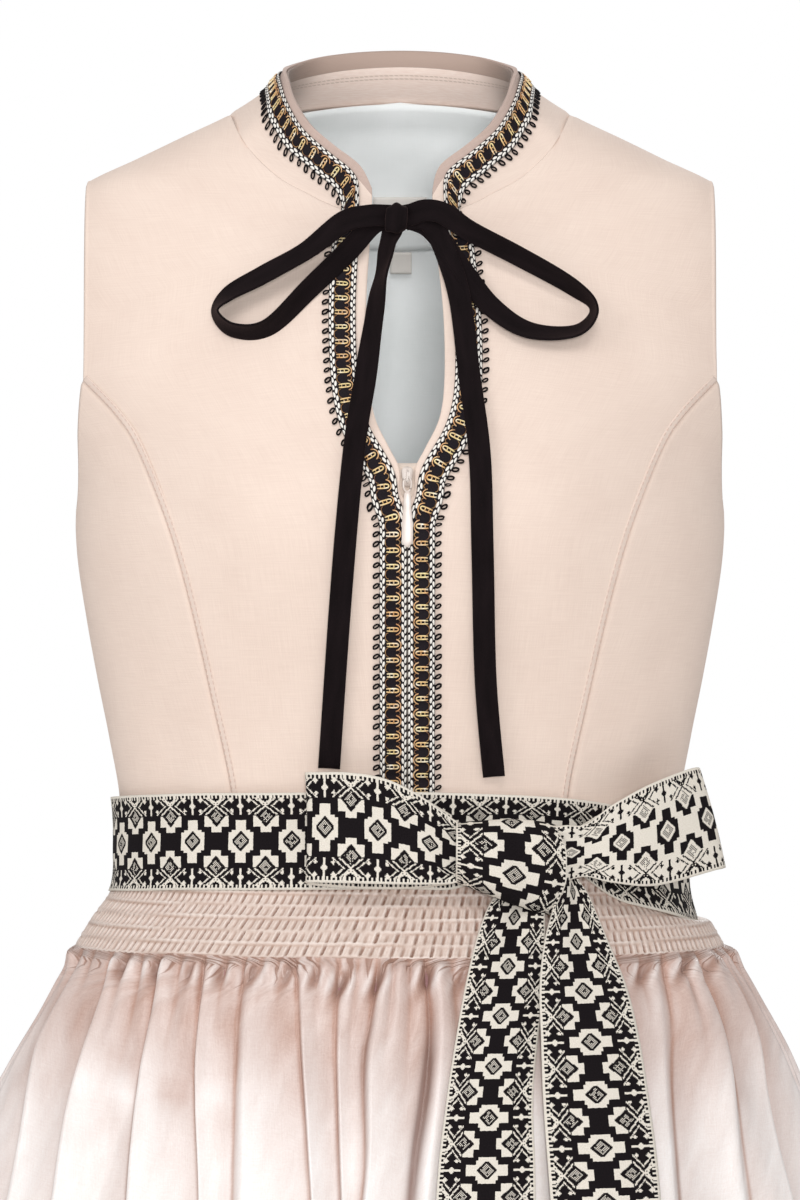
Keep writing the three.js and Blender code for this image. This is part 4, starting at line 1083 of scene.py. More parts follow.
def onBraid(across, lengthwise, height):
    # places given across, along and up from the braid's face, read from the strip between its rows
    rowAt = np.interp(lengthwise, braidLengths, np.arange(len(braidLengths)))
    rowAt = np.clip(rowAt, 0, len(braidLengths) - 1.001)
    columnAt = np.clip(across / (braidFar[1] - braidFar[0]), 0, len(braidFar) - 1.001)
    j, i = rowAt.astype(int), columnAt.astype(int)
    t, s = (rowAt - j)[..., None], (columnAt - i)[..., None]
    mixed = (
        braidStrip[j, i] * (1 - t) * (1 - s) + braidStrip[j + 1, i] * t * (1 - s)
        + braidStrip[j, i + 1] * (1 - t) * s + braidStrip[j + 1, i + 1] * t * s)
    return mixed[..., :3] + unit(mixed[..., 3:]) * (braid["out"] + height)[..., None]


def braidCloth():
    # rope bands of slanting light strands on black at both edges, ribbed black between them
    b = braid
    material, tree, shader = newMaterial("braidCloth", "#120d0d", 0.7, Specular_IOR_Level=0.2)
    across, lengthwise = clothMap(tree)
    halfColumn, halfPitch = b["columnWide"] / 2, b["strandPitch"] / 2
    fromEdge = across.worked("MINIMUM", across * -1.0 + b["width"])
    column = (fromEdge / b["columnWide"]).worked("FLOOR")
    sideways = fromEdge.wrapped(b["columnWide"]) - halfColumn
    slant = sideways * (column * 2.0 - 1.0) * 0.55
    ahead = (lengthwise + column * halfPitch + slant).wrapped(b["strandPitch"]) - halfPitch
    oval = (sideways / 0.66).squared() + (ahead / 1.35).squared()
    strand = oval.below(1.0) * fromEdge.below(b["bandWide"])
    thread = lengthwise.wave(0.55) * across.wave(0.9)
    cell = (lengthwise / b["cellPitch"]).folded(0.5) * 2.0
    grain = noise((across, lengthwise), (0.6, 0.4))
    color = blended(strand, blended((grain - 0.3) * 2.4, "#080407", "#211820"), "#fdf8f0")
    height = strand * ((oval * -1.0 + 1.2) * 1.1) + thread * 0.12 + cell * 0.5
    coated(shader, color, height, 0.45, 0.8)
    return material


def braidBase():
    # ropes along both edges and a swelling |sin(pi length / pitch)| between them
    across, lengthwise = np.meshgrid(np.linspace(0, braid["width"], braid["columns"]), braidLengths)
    cells = np.abs(np.sin(np.pi * lengthwise / braid["cellPitch"]))
    middle = bell(across - braid["width"] / 2, 3.2, 4)
    edge = np.minimum(across, braid["width"] - across)
    ropes = 0.35 * np.sin(np.pi * np.clip(edge / braid["bandWide"], 0, 1))
    height = 0.55 * cells * middle + ropes - 0.5 * np.exp(-edge / 0.4)
    outward = onBraid(across, lengthwise, 0 * height + 1) - onBraid(across, lengthwise, 0 * height)
    piece = surface("braid_band", onBraid(across, lengthwise, height), stacked(across, lengthwise),
                    outward=outward)
    thicken(piece, braid["wall"])
    finishPiece(piece, [braidCloth()], "braid", "braid")


def braidTubes(path, radius, sides, lengths, closed=False, jitter=0.0):
    # the same small cord at each length: its rings are laid out flat, then mapped onto the braid
    points, faces = tubeAlong(path, radius, sides, closed)
    shift = chance.uniform(-jitter, jitter, (len(lengths), 2))
    grow = 1 + chance.uniform(-jitter, jitter, (len(lengths), 1)) * 0.5
    middle = path.mean(0)
    local = points[None] - middle
    across = middle[0] + local[..., 0] * grow + shift[:, :1] * 0.6
    lengthwise = lengths[:, None] + middle[1] + local[..., 1] * grow + shift[:, 1:]
    height = np.broadcast_to(points[None, :, 2], across.shape)
    placed = onBraid(across, lengthwise, height)
    return placed.reshape(-1, 3), repeated(points, faces, len(lengths))


def goldThread(name, dull, bright, paintedGlint):
    # metal thread whose colour wanders from dull to bright gold, with painted glints of pale highlight
    material, tree, shader = newMaterial(name, bright, 0.36, Metallic=0.3, Specular_IOR_Level=0.8)
    place = objectMap(tree)
    tone = noise(place, (9.0, 9.0, 9.0), 1.0)
    fine = noise(place, (3.1, 3.1, 3.1), 1.0)
    color = blended((tone - 0.36) * 3.4, dull, bright)
    color = blended((fine - 0.5) * 4.0, color, paintedGlint)
    coated(shader, color, noise(place, (0.5, 0.5, 0.5), 1.0), 0.2, 0.6)
    return material


def picotThread():
    # dull black thread
    material, tree, shader = newMaterial("picotThread", "#0d090b", 0.8, Specular_IOR_Level=0.15)
    tone = noise(objectMap(tree), (0.8, 0.8, 0.8), 1.0)
    coated(shader, blended(tone, "#050304", "#1c1618"), tone, 0.2, 0.5)
    return material


def mirroredPath(halfPath):
    # a path that ends on the motif's middle line, and its mirror image beyond
    return np.concatenate([halfPath, (np.array(halfPath) * [1, -1])[-2::-1]])


braidBase()
goldLengths = np.arange(3.0, braidLengths[-1] - 3, braid["cellPitch"])
# one motif as across and along the braid: a gold hairpin with its round end inwards and a short link
# over its middle, an arc hugging that end, and thin dull arcs round the outer side of the black
# blocks between motifs
hairpin = mirroredPath([
    [9.8, 0.7], [8.6, 0.86], [7.0, 0.88], [5.4, 0.88], [4.6, 0.72], [4.2, 0.36], [4.1, 0]])
hug = mirroredPath([[5.2, 2.75], [3.9, 2.1], [3.15, 1.1], [2.95, 0]])
outerArc = np.array([
    [8.9, 1.5], [9.9, 2.1], [10.3, 3.0], [10.4, 3.85], [10.3, 4.7], [9.9, 5.6], [8.9, 6.2]])
innerArc = np.array([[4.4, 2.6], [3.4, 3.2], [3.2, 3.85], [3.4, 4.5], [4.4, 5.1]])
link = np.array([[6.3, 0.95], [6.35, 0.4], [6.35, -0.4], [6.3, -0.95]])
outerLink = link + [1.9, 0]


def goldRow(name, path, height, radius, sides, material):
    # one part of the motif at every pitch along the braid
    placed = np.column_stack([path, np.full(len(path), height)])
    row = addMesh(name, *braidTubes(placed, radius, sides, goldLengths, jitter=0.12))
    finishPiece(row, [material], "braid")


brightGold = goldThread("goldThread", "#dfae74", "#f3e0a4", "#fdf7e6")
dullGold = goldThread("dullGoldThread", "#d59a66", "#efbf88", "#f9dcb6")
dimGold = goldThread("dimGoldThread", "#6a3d2c", "#a87a48", "#cfa668")
goldRow("braid_gold", hairpin, 0.72, braid["goldThick"], 5, brightGold)
goldRow("braid_gold_links", link, 1.0, braid["arcThick"], 4, brightGold)
goldRow("braid_outer_links", outerLink, 0.9, 0.22, 4, brightGold)
goldRow("braid_gold_arcs", hug, 0.62, braid["arcThick"], 5, dullGold)
goldRow("braid_dim_arcs", outerArc, 0.5, 0.2, 4, dimGold)
goldRow("braid_dim_inner_arcs", innerArc, 0.5, 0.2, 4, dimGold)

# a row of loops along the outer edge, each a short stem and a leaning oval ring
picotLengths = np.arange(1.5, braidLengths[-1] - 2, braid["picotPitch"])
angles = np.arange(12) * turnRound / 12
picotStem = stacked(np.linspace(12.9, 13.7, 3), 0.0, -0.5)
aside, ahead = braid["picotWide"] * np.cos(angles), braid["picotTall"] * np.sin(angles)
leaning = ahead + braid["picotTilt"] * (aside + braid["picotWide"])
picotRing = stacked(braid["picotAt"] + aside, leaning, -0.55)
picotParts = [
    braidTubes(picotStem, braid["picotThick"], 6, picotLengths, jitter=0.1),
    braidTubes(picotRing, braid["picotThick"], 6, picotLengths, closed=True, jitter=0.28)]
picots = addMesh("braid_picots", *joinedRows(picotParts))
finishPiece(picots, [picotThread()], "braid")
report("braid")

# the belt's woven ribbon, how far its low side lifts and draws the hip in, and the grids of its parts
ribbon = {
    "wide": 48.5, "wall": 0.7, "lift": 14, "grip": 0.62, "loopRows": 120, "loopColumns": 36,
    "knotRows": 96, "knotColumns": 40, "tailRows": 200, "tailColumns": 32,
}
# height of the belt's middle round the waist; it lies lower over the wearer's left hip
beltRows = np.array([
    [-90, -372.5], [-45, -368], [0, -366], [30, -369], [45, -373], [60, -380.5], [75, -384],
    [90, -384.5], [135, -383], [180, -378], [225, -375], [270, -372.5],
])


def beltMiddle(phi):
    # the table's heights, averaged over seven degrees to either side
    near = [np.interp(phi + k, beltRows[:, 0], beltRows[:, 1], period=360) for k in range(-7, 8)]
    return sum(near) / len(near)


def beltSqueeze(phi, z):
    # how far the low side of the belt draws the hip in under it
    wider = np.maximum(levelAt(1, z) - levelAt(1, -388.0), 0)
    return ribbon["grip"] * wider * bell(phi - 88, 28)


def gripped(phi, z):
    # the same for the cloth under the belt, which springs out again below its lower edge
    low = beltMiddle(phi) - ribbon["wide"] / 2
    return beltSqueeze(phi, z) * ease(z - low, -2.5, 1.5)


smock = {
    "from": -100, "to": 104, "top": -379, "out": 1.5, "wall": 0.8, "columns": 720, "rows": 41,
    "rowPitch": 6.0, "ridge": 0.75, "slit": 1.9, "slitWide": 0.62, "slitPitch": (3.3, 4.3),
    "slant": -0.45,
}


def smockBand():
    # shirred rows: a thin ridge exp(-(height / width)^2) at each row, and over it narrow leaning slits
    # of the same bell shape where the cloth is drawn in, each between two raised lips
    s = smock
    phi, z = np.meshgrid(
        np.linspace(s["from"], s["to"], s["columns"]), np.linspace(smockBottomZ, s["top"], s["rows"]))
    flat = formPoint(phi, z)
    middle = rowLengths(flat)[s["rows"] // 2]
    narrow, broad = s["slitPitch"]
    pitch = narrow + (broad - narrow) * bell(phi[0] + 6, 42)
    turns = np.cumsum(np.gradient(middle) / pitch)
    wander = 0.16 * np.sin(middle / 23.0) + 0.12 * np.sin(middle / 9.1 + 1.0)
    waving = 0.5 * sineOf(phi * 3.0) + 0.25 * sineOf(phi * 11.0)
    height = z - smockBottomZ + waving
    row = np.floor(height / s["rowPitch"])
    share = height / s["rowPitch"] - row  # 0 at the ridge under a row, 1 at the ridge over it
    ridge = bell(np.minimum(share, 1 - share) * s["rowPitch"], 0.6)
    shift = 0.5 * (row % 2) + 0.17 * np.sin(row * 2.4)
    place = turns[None] + wander + shift + s["slant"] * share
    number = np.round(place)
    far = (place - number) * pitch[None]
    own = 0.75 + 0.35 * np.sin(number * 2.9 + row * 1.7)
    slit = bell(far, s["slitWide"]) * own
    lips = bell(np.abs(far) - 1.15, 0.5) * own
    tall = ease(share, 0.06, 0.22) * (1 - ease(share, 0.56 + 0.2 * own, 0.8 + 0.12 * own))
    under = bell((share - 0.9) * s["rowPitch"], 0.55)
    out = s["out"] + s["ridge"] * ridge - s["slit"] * slit * tall + 0.5 * lips * tall - 0.3 * under
    puckered = bell(flat[..., 0] + 12, 30) * (1 - ease(height, 8, 22))
    out += 0.9 * puckered * np.sin(middle / 3.1 + 0.8 * np.sin(height / 2.7)) * np.sin(height / 3.4)
    out += 0.25 * ease(height, 0, 3) - gripped(phi, z)
    piece = surface("smocked_waist", onForm(stacked(phi, z), out))
    # painted shade in the slits and under each ridge, and painted highlight on the ridges and lips
    paintedFoldShade = 0.5 + 0.6 * slit * tall - 0.4 * lips * tall - 0.35 * ridge + 0.35 * under
    marked(piece, "paintedFoldShade", np.clip(paintedFoldShade, 0, 1))
    # painted shadow in the slits
    marked(piece, "dark", np.clip(0.6 * slit * tall, 0, 0.6))
    thicken(piece, s["wall"])
    finishPiece(piece, [satin], "satin", "smocked_band")


smockBand()

folds = {"count": 20}
# level and depth of the large folds of both skirts
skirtRows = np.array([
    [waistZ, 0], [-388, 0], [-404, 0], [-423.5, 0.3], [-470, 3], [-560, 6], [-760, 10],
    [skirtHemZ, 15],
])
apron = {
    "out": 1.6, "wall": 0.7, "rows": 72, "rowShare": 1.95, "gatherDeep": 5.4, "gatherFade": 28,
    "softDeep": 0.9, "lean": 0.42, "wave": 0.45, "narrowPit": 4, "sideEdge": 104,
}
# the long creases: x under the band, level and x of points down each and x at the hem;
# then where the crest lies between a crease and the next, how proud it is, how many small pleats it
# gathers into and its crease's shadow
apronCreases = [
    (-156, [[-464, -173], [-482, -177], [-515, -183], [-600, -196],
     [-760, -224]], -262, 0.16, 7.0, 2, 0.3),
    (-140, [[-470, -151], [-500, -158], [-550, -166], [-700, -190]], -222, 0.12, 7.0, 3, 0.35),
    (-116, [[-450, -120], [-480, -125], [-510, -128], [-550, -130],
     [-760, -148]], -170, 0.12, 5.4, 2, 0.5),
    (-94, [[-453, -97], [-480, -98], [-550, -96], [-720, -108]], -122, 0.12, 4.6, 2, 0.35),
    (-74, [[-452, -78], [-482, -79], [-550, -80], [-640, -82]], -92, 0.16, 4.0, 3, 0.5),
    (-50, [[-460, -48], [-500, -45], [-550, -42], [-700, -46]], -60, 0.14, 4.0, 2, 0.3),
    (-29, [[-450, -31], [-500, -30], [-550, -28], [-680, -30]], -36, 0.16, 3.6, 2, 0.45),
    (-10, [[-455, -15], [-465, -17], [-520, -17], [-550, -20], [-700, -20]], -16, 0.12, 6.4, 3, 1.4),
    (12, [[-455, 14], [-482, 12], [-515, 7], [-550, 4], [-700, 8]], 20, 0.2, 6.2, 2, 1.4),
    (38, [[-500, 44], [-560, 42], [-760, 52]], 64, 0.5, 4.2, 3, 0.5),
    (74, [[-520, 84], [-640, 86]], 112, 0.6, 4.4, 3, 0.7),
    (104, [[-520, 112], [-700, 122]], 146, 0.7, 3.6, 2, 0.5),
    (127, [[-451, 132], [-483, 131], [-515, 132], [-600, 136], [-760, 156]], 178, 0.8, 4.4, 2, 0.6),
    (144, [[-442, 152], [-458, 158], [-515, 164], [-550, 169], [-720, 190]], 214, 0.82, 4.2, 1, 0.6),
    (154, [[-442, 166], [-464, 174], [-490, 179], [-521, 185], [-550, 191],
     [-700, 214]], 250, 0.7, 4.0, 2, 0.5),
]
# short leaning pits under the band: x, level, half width, height and depth
apronPits = [
    [-110, -487, 12, 7, 2.0], [-134, -430, 2.3, 5.5, 3.6], [-118, -431, 2.4, 5.5, 3.4],
    [-101, -432, 2.0, 5, 2.8], [-71, -432, 2.4, 5.5, 3.2], [-54, -431, 2.3, 6, 3.0],
    [-41, -433, 1.8, 4.5, 2.4], [-28, -434.5, 2.6, 6, 3.8], [-10.5, -434.5, 2.5, 5.5, 3.4],
    [12, -433, 2.6, 6, 3.6], [-132, -486, 7, 12, -1.8], [-86, -431, 1.8, 5, 2.6],
    [30, -432, 2.2, 6, 2.8], [118, -431, 2.5, 6, 3.0], [138, -430, 2.4, 6, 3.2],
    [152, -430, 2.2, 6, 3.0], [120, -448, 6, 9, -1.6],
]


def largeFolds(phi, deep):
    # deep cos(count phi) round the body, with a phase and height that wander
    wander = 0.9 * sineOf(3 * phi + 40) + 0.5 * sineOf(7 * phi)
    swell = 0.8 + 0.2 * np.cos(np.radians(5 * phi + 70))
    return deep * np.cos(np.radians(folds["count"] * phi) + wander) * swell


def foldDepth(z):
    # the large folds' depth, read smoothly from its table
    return through(-skirtRows[:, 0], skirtRows[:, 1], -z)


def smallGathers(lengths, z, pitch, deep, fade, seed):
    # narrow pleats under a gathered seam; each keeps its own height and dies away at its own length
    top = smockBottomZ - 1
    below = np.maximum(top - z, 0)
    steady = lengths + 2.0 * np.sin(lengths / 37.0 + seed) + 0.9 * np.sin(lengths / 12.0 + 2 * seed)
    phase = steady / pitch
    own = 0.75 + 0.35 * np.sin(phase * 2.7 + seed) + 0.25 * np.sin(phase * 1.13 + 2.0 * seed)
    reach = fade * (0.75 + 0.45 * np.sin(phase * 1.9 + 3.0 * seed))
    fading = bell(below, np.maximum(reach, 9), 1.4) * ease(below, -1, 5)
    crest = np.abs(np.cos(np.pi * phase)) ** 1.3
    return deep * own * fading * (crest - 0.45)


def sheetLevels(topZ, bottomZ, rows, power):
    # levels down a skirt as share^power, which sets its rows closer together under the waist
    return (topZ + (bottomZ - topZ) * np.linspace(0, 1, rows) ** power)[:, None]


# columns between two creases, closer together beside them
creaseShares = np.array([
    0, 0.015, 0.035, 0.06, 0.09, 0.125, 0.165, 0.21, 0.26, 0.315, 0.37, 0.43,
    0.49, 0.55, 0.61, 0.67, 0.725, 0.775, 0.825, 0.87, 0.905, 0.935, 0.96, 0.98])


def pleatedGrid(lines, shares):
    # columns follow the crease lines; returns their angles, and for each the number of its pleat,
    # the share of the way across it and the pleat's whole angle
    left, right = lines[:, :-1, None], lines[:, 1:, None]
    phi = (left * (1 - shares) + right * shares).reshape(len(lines), -1)
    spread = (right - left + 0 * shares).reshape(len(lines), -1)
    count = lines.shape[1] - 1
    which = np.append(np.repeat(np.arange(count), len(shares)), count - 1)
    share = np.append(np.tile(shares, count), 1.0)
    phi = np.concatenate([phi, lines[:, -1:]], 1)
    return phi, which[None], share[None], np.concatenate([spread, spread[:, -1:]], 1)


def pleatShape(share, crest):
    # the cloth turns over smoothly on its narrow side, and falls away as (1 - t)^1.7 on its wide side
    rise, fall = np.clip(share / crest, 0, 1), np.clip((share - crest) / (1 - crest), 0, 1)
    crestLeft = np.where(share < crest, ease(rise, 0, 1), (1 - fall) ** 1.7)
    crestRight = np.where(share < crest, rise ** 1.7, 1 - ease(fall, 0, 1))
    return np.where(crest < 0.5, crestLeft, crestRight)


def apronLines(z):
    # the listed creases as angles, with plain ones on round to the cloth's side edges; the
    # values of each stretch between creases are those beside the tables above
    inner = []
    for top, points, hem, *_ in apronCreases:
        levels, x = np.array([[smockBottomZ, top], *points, [apronHemZ, hem]]).T
        inner.append(phiAt(through(-levels, x, -z), z))
    wander = 1.2 * np.sin(z / 47.0)
    edge = apron["sideEdge"] + 0 * z
    before = [-edge, -96 + wander, -88.5 - wander, -81.5 + wander * 0.6]
    after = [81 + wander * 0.6, 88 - wander, 95.5 + wander, edge]
    values = [[0.3, 4.0, 2, 0.4], [0.65, 4.2, 2, 0.4], [0.3, 5.0, 2, 0.4], [0.2, 6.0, 1, 0.4]]
    values += [row[3:] for row in apronCreases]
    values += [[0.6, 4.0, 2, 0.5], [0.35, 4.2, 2, 0.4], [0.6, 4.0, 2, 0.4]]
    return np.concatenate(before + inner + after, 1), np.array(values)


def apronCloth():
    # out from the form: the body's large wave, each pleat's shape times how proud it is, small
    # gathers |sin(pi count share)|^0.6 that fade under the band, pits, and a soft unevenness
    a = apron
    z = sheetLevels(smockBottomZ + 0.4, apronHemZ, a["rows"], a["rowShare"])
    lines, values = apronLines(z)
    phi, which, share, spread = pleatedGrid(lines, creaseShares)
    phi, z = np.broadcast_arrays(phi, z)
    shape = pleatShape(share, values[which, 0])
    flat = formPoint(phi, z)
    across = rowLengths(flat)[0][None]
    below = np.maximum(smockBottomZ - z, 0)
    proud = values[which, 1] * (0.45 + 0.75 * ease(below, 8, 60)) * (1 + 1.1 * ease(below, 70, 420))
    out = a["out"] + largeFolds(phi, foldDepth(z) * a["wave"])
    out += (shape * proud - 2.2) * ease(below, 0, 14)
    own = 0.85 + 0.3 * np.sin(which * 2.3 + 1) + 0.2 * np.sin(share * 9 + which)
    reach = a["gatherFade"] * (0.8 + 0.35 * np.sin(np.radians(phi * 7.3) + 1.0))
    small = np.abs(np.sin(np.pi * values[which, 2] * share)) ** 0.6
    gathered = bell(below, reach, 1.6)
    out += a["gatherDeep"] * (own * small - 0.5) * ease(below, -1, 5) * gathered
    nearCrease = np.minimum(share, 1 - share) * spread * np.radians(levelAt(1, z))
    # painted shade on the falling side of each pleat, beside each crease and in the gathers' valleys,
    # with more of it just under the band
    paintedFoldShade = 0.3 * (1 - shape) ** 2 + 0.5 * bell(nearCrease, 1.1)
    paintedFoldShade = paintedFoldShade * (0.5 + 0.5 * ease(below, 0, 40)) + 0.75 * gathered * np.clip(0.75 - small, 0, 1)
    paintedFoldShade += 0.62 * (1 - ease(below, 15, 105))
    # a narrow painted shadow in each crease, whose strength comes and goes down its length
    after = np.minimum(which + 1, len(values) - 1)
    nearer = np.where(share < 0.5, values[which, 3], values[after, 3])
    coming = 0.55 + 0.45 * np.sin(z / 43.0 + 2.1 * (which + np.round(share)))
    dark = nearer * coming * bell(nearCrease, 0.5 + 1.6 * nearer) * ease(below, 15, 60)
    front = ease(flat[..., 1], -20, -60)
    for x, level, wide, tall, deep in apronPits:
        up, isNarrow = z - level, wide < a["narrowPit"]
        aside = flat[..., 0] - x - (a["lean"] * up if isNarrow else 0)
        pit = np.exp(-((aside / wide) ** 2) - (up / tall) ** 2) * front
        rim = np.exp(-(((np.abs(aside) - 2 * wide) / (0.7 * wide)) ** 2) - (up / tall) ** 2) * front
        out = out - deep * pit + 0.22 * deep * rim
        # painted shade and shadow in each pit, and painted highlight on its rim
        paintedFoldShade += (0.24 if isNarrow else 0.12) * deep * pit - 0.12 * abs(deep) * rim
        dark += (0.2 if isNarrow else 0) * deep * pit
    soft = np.sin(across / 17.0 + 0.9 * np.sin(z / 38.0)) * np.sin(z / 31.0 + across / 41.0)
    out += a["softDeep"] * soft * ease(below, 20, 90)
    drawnIn = ease(-phi, 60, 88) * ease(below, 0, 12) * (1 - ease(below, 30, 90))  # over the right hip
    out += 1.5 * ease(below, 0, 7) - 4.5 * drawnIn
    piece = surface("apron_satin", onForm(stacked(phi, z), out))
    # the painted shade and painted shadow, kept on the mesh for the satin
    marked(piece, "paintedFoldShade", np.clip(paintedFoldShade, 0, 1))
    marked(piece, "dark", np.clip(dark, 0, 0.85))
    thicken(piece, a["wall"])
    finishPiece(piece, [apronSatin], "satin", "apron_skirt")


apronCloth()
# the skirt lies further in behind the apron, whose cover fades out between the two angles
skirt = {
    "wall": 1.0, "columns": 270, "rows": 62, "behindApron": 12.0, "pleat": 9.0, "cover": (104, 113)}
# angle of each long crease of the bare skirt behind, and where its crest lies
skirtCreases = np.array([
    [90, 0.4], [99, 0.6], [107, 0.3], [114, 0.65], [123, 0.3], [131, 0.4], [140, 0.7], [147, 0.35],
    [156, 0.6], [166, 0.3], [173, 0.5], [181, 0.7], [190, 0.35], [199, 0.6], [206, 0.3], [216, 0.65],
    [224, 0.4], [233, 0.3], [240, 0.6], [249, 0.7], [256, 0.35], [264, 0.45], [270, 0.5],
])


def skirtCloth(name, isBack, node):
    # out from the form: large folds, pleats on the bare back and gathers, less the room for the apron
    z = sheetLevels(waistZ + 2, skirtHemZ, skirt["rows"], 1.5)
    pleated = 0
    if isBack:
        held = np.sin(np.pi * np.linspace(0, 1, len(skirtCreases))) ** 0.3
        lines = skirtCreases[:, 0] + 1.5 * held * np.sin(z / 140.0 + np.arange(len(skirtCreases)))
        phi, which, share, _ = pleatedGrid(lines, creaseShares[::2])
        proud = skirt["pleat"] * (0.8 + 0.4 * np.sin(which * 2.1))
        proud = proud * (1 + 0.5 * ease(-390 - z, 150, 450))
        pleated = pleatShape(share, skirtCreases[which, 1]) * proud - skirt["pleat"] / 2
    else:
        phi = np.linspace(-90, 90, skirt["columns"])[None, :]
    phi, z = np.broadcast_arrays(phi, z)
    across = rowLengths(formPoint(phi, z * 0 + smockBottomZ))
    bare = ease(np.abs((phi + 180) % 360 - 180), *skirt["cover"])
    covered = 1 - bare
    out = largeFolds(phi, foldDepth(z)) * (1 - (1 - apron["wave"]) * covered)
    out += pleated * bare * ease(-390 - z, 0, 45)
    gathers = smallGathers(across, np.minimum(z, smockBottomZ - 8), 9.5, 4.2, 75, 1.7)
    out += gathers * bare * ease(-z, 392, 430)
    hidden = covered * (1 - ease(-z, -apronHemZ - 4, -apronHemZ + 26))
    out -= skirt["behindApron"] * hidden * ease(-z, 425, 470)
    out = out - 1.2 * covered * ease(-z, 380, 400) - gripped(phi, z)
    piece = surface(name, onForm(stacked(phi, z), out))
    thicken(piece, skirt["wall"])
    finishPiece(piece, [mauveCloth], "skirt_cloth", node)


skirtCloth("skirt_front_cloth", False, "skirt_front")
skirtCloth("skirt_back_cloth", True, "skirt_back")
report("skirts")


def beltCloth():
    # a band round the waist, a little further out at its upper edge, with slow waves
    phi = np.linspace(-90, 270, 361)[None, :-1]
    share = np.linspace(0, 1, 25)[:, None]
    across = (share - 0.5) * ribbon["wide"]
    middle = beltMiddle(phi[0])
    x = levelAt(1, middle) * sineOf(phi[0])
    lift = (1 - ease(x, 78, 108)) * ease(x, 20, 60) * np.where(np.abs(phi[0]) < 90, 1, 0)
    z = middle[None] + across + ribbon["lift"] * lift[None] * (1 - share) ** 1.5
    phi, z = np.broadcast_arrays(phi, z)
    out = 3.5 + 1.1 * share + 0.35 * sineOf(phi * 5) * np.sin(np.pi * share)
    out += 0.3 * sineOf(phi * 13 + 60 * share) - 0.5 * bell(share - 0.5, 0.3)
    points = onForm(stacked(phi, z), out - beltSqueeze(phi, z))
    lengths = rowLengths(np.concatenate([points, points[:, :1]], 1))[len(points) // 2]
    # the pattern's repeat is drawn out a little, so that it meets itself
    repeats = round(lengths[-1] / ribbonChart["repeat"])
    lengthwise = lengths * repeats * ribbonChart["repeat"] / lengths[-1]
    piece = surface("belt_ribbon", points, stacked(lengthwise[None], across), ring=True)
    thicken(piece, ribbon["wall"], backSlot=1)
    finishPiece(piece, [ribbonFace, ribbonBack], "jacquard", "belt")


def ribbonPiece(name, points, across, node, start=0.0, outward=None, backFirst=False):
    # rows of points run along the ribbon; its map is measured along it, and across by its width
    lengthwise = columnLengths(points).mean(1)[:, None] + start
    piece = surface(name, points, stacked(lengthwise, across), outward=outward)
    thicken(piece, ribbon["wall"], offset=0.0, backSlot=1)
    cloths = [ribbonFace, ribbonBack]
    finishPiece(piece, cloths[::-1] if backFirst else cloths, "jacquard", node)


# top (x, z), low (x, z) and y of lines across the ribbon
bowRows = {
    "right": [
        [35, -360, 35, -383, -95.5], [28, -357, 28, -385.6, -98],
        [22, -353, 22, -386.8, -98.6], [8, -343, 8, -386.8, -102],
        [-8, -335.6, -8, -386.6, -103], [-25, -333, -25, -386.3, -100], [-40, -333, -40, -386.2, -95],
        [-45, -333.2, -45, -386.6, -90.5], [-41, -334, -41, -388, -87.4],
        [-20, -337, -20, -389.5, -89.8], [5, -343, 5, -389.5, -90.8], [25, -354, 25, -387, -91],
    ],
    "left": [
        [73, -360, 73, -388, -86], [80, -359, 80, -386, -87], [90, -358.5, 90, -384, -84.5],
        [103, -349.5, 103, -387, -81],
        [122, -339.5, 124, -389, -71], [141, -332.8, 152, -383, -55],
        [147, -332.8, 160, -381, -47], [143.5, -335, 155, -383, -42],
        [122, -342, 124, -386.5, -55.5], [103, -351.5, 103, -385, -68.5], [88, -360, 88, -382, -78],
    ],
}


def bowLoop(side, node, start):
    # top and low edges joined by slightly cupped lines, with small pleats where the knot grips it
    rows = curve(bowRows[side], ribbon["loopRows"])
    top, low = rows[:, [0, 4, 1]], rows[:, [2, 4, 3]]
    s = np.linspace(0, 1, ribbon["loopColumns"] + 1)[None]
    points = top[:, None] * (1 - s[..., None]) + low[:, None] * s[..., None]
    run = np.linspace(0, 1, ribbon["loopRows"] + 1)[:, None]
    rootward = bell(np.minimum(run, 1 - run), 0.13)
    cup = 1.2 * np.sin(np.pi * s) * (1 - rootward)
    rootPleats = rootward * (1.5 * np.sin(3.1 * np.pi * s + 0.6) + 0.7 * np.sin(7 * np.pi * s))
    soft = 0.7 * np.sin(5 * np.pi * run + 2 * s) * (1 - rootward)
    points = points + gridNormals(points) * (cup + rootPleats + soft)[..., None]
    outward = np.array([0, -1.0, 0]) * np.where(run < 0.5, 1, -1)[..., None]
    ribbonPiece("bow_loop_" + side + "_ribbon", points, (0.5 - s) * ribbon["wide"], node,
                start, outward, backFirst=side == "left")


# x, y and half depth of the knot's lines, and the levels of its upper and lower end
knotLines = [
    [27, -96, 8, -357.5, -386], [41, -95.5, 10, -356.5, -391], [55, -93.5, 10.5, -356, -396],
    [69, -89, 10, -357, -400], [80.5, -83.5, 8.5, -359, -402.5]]


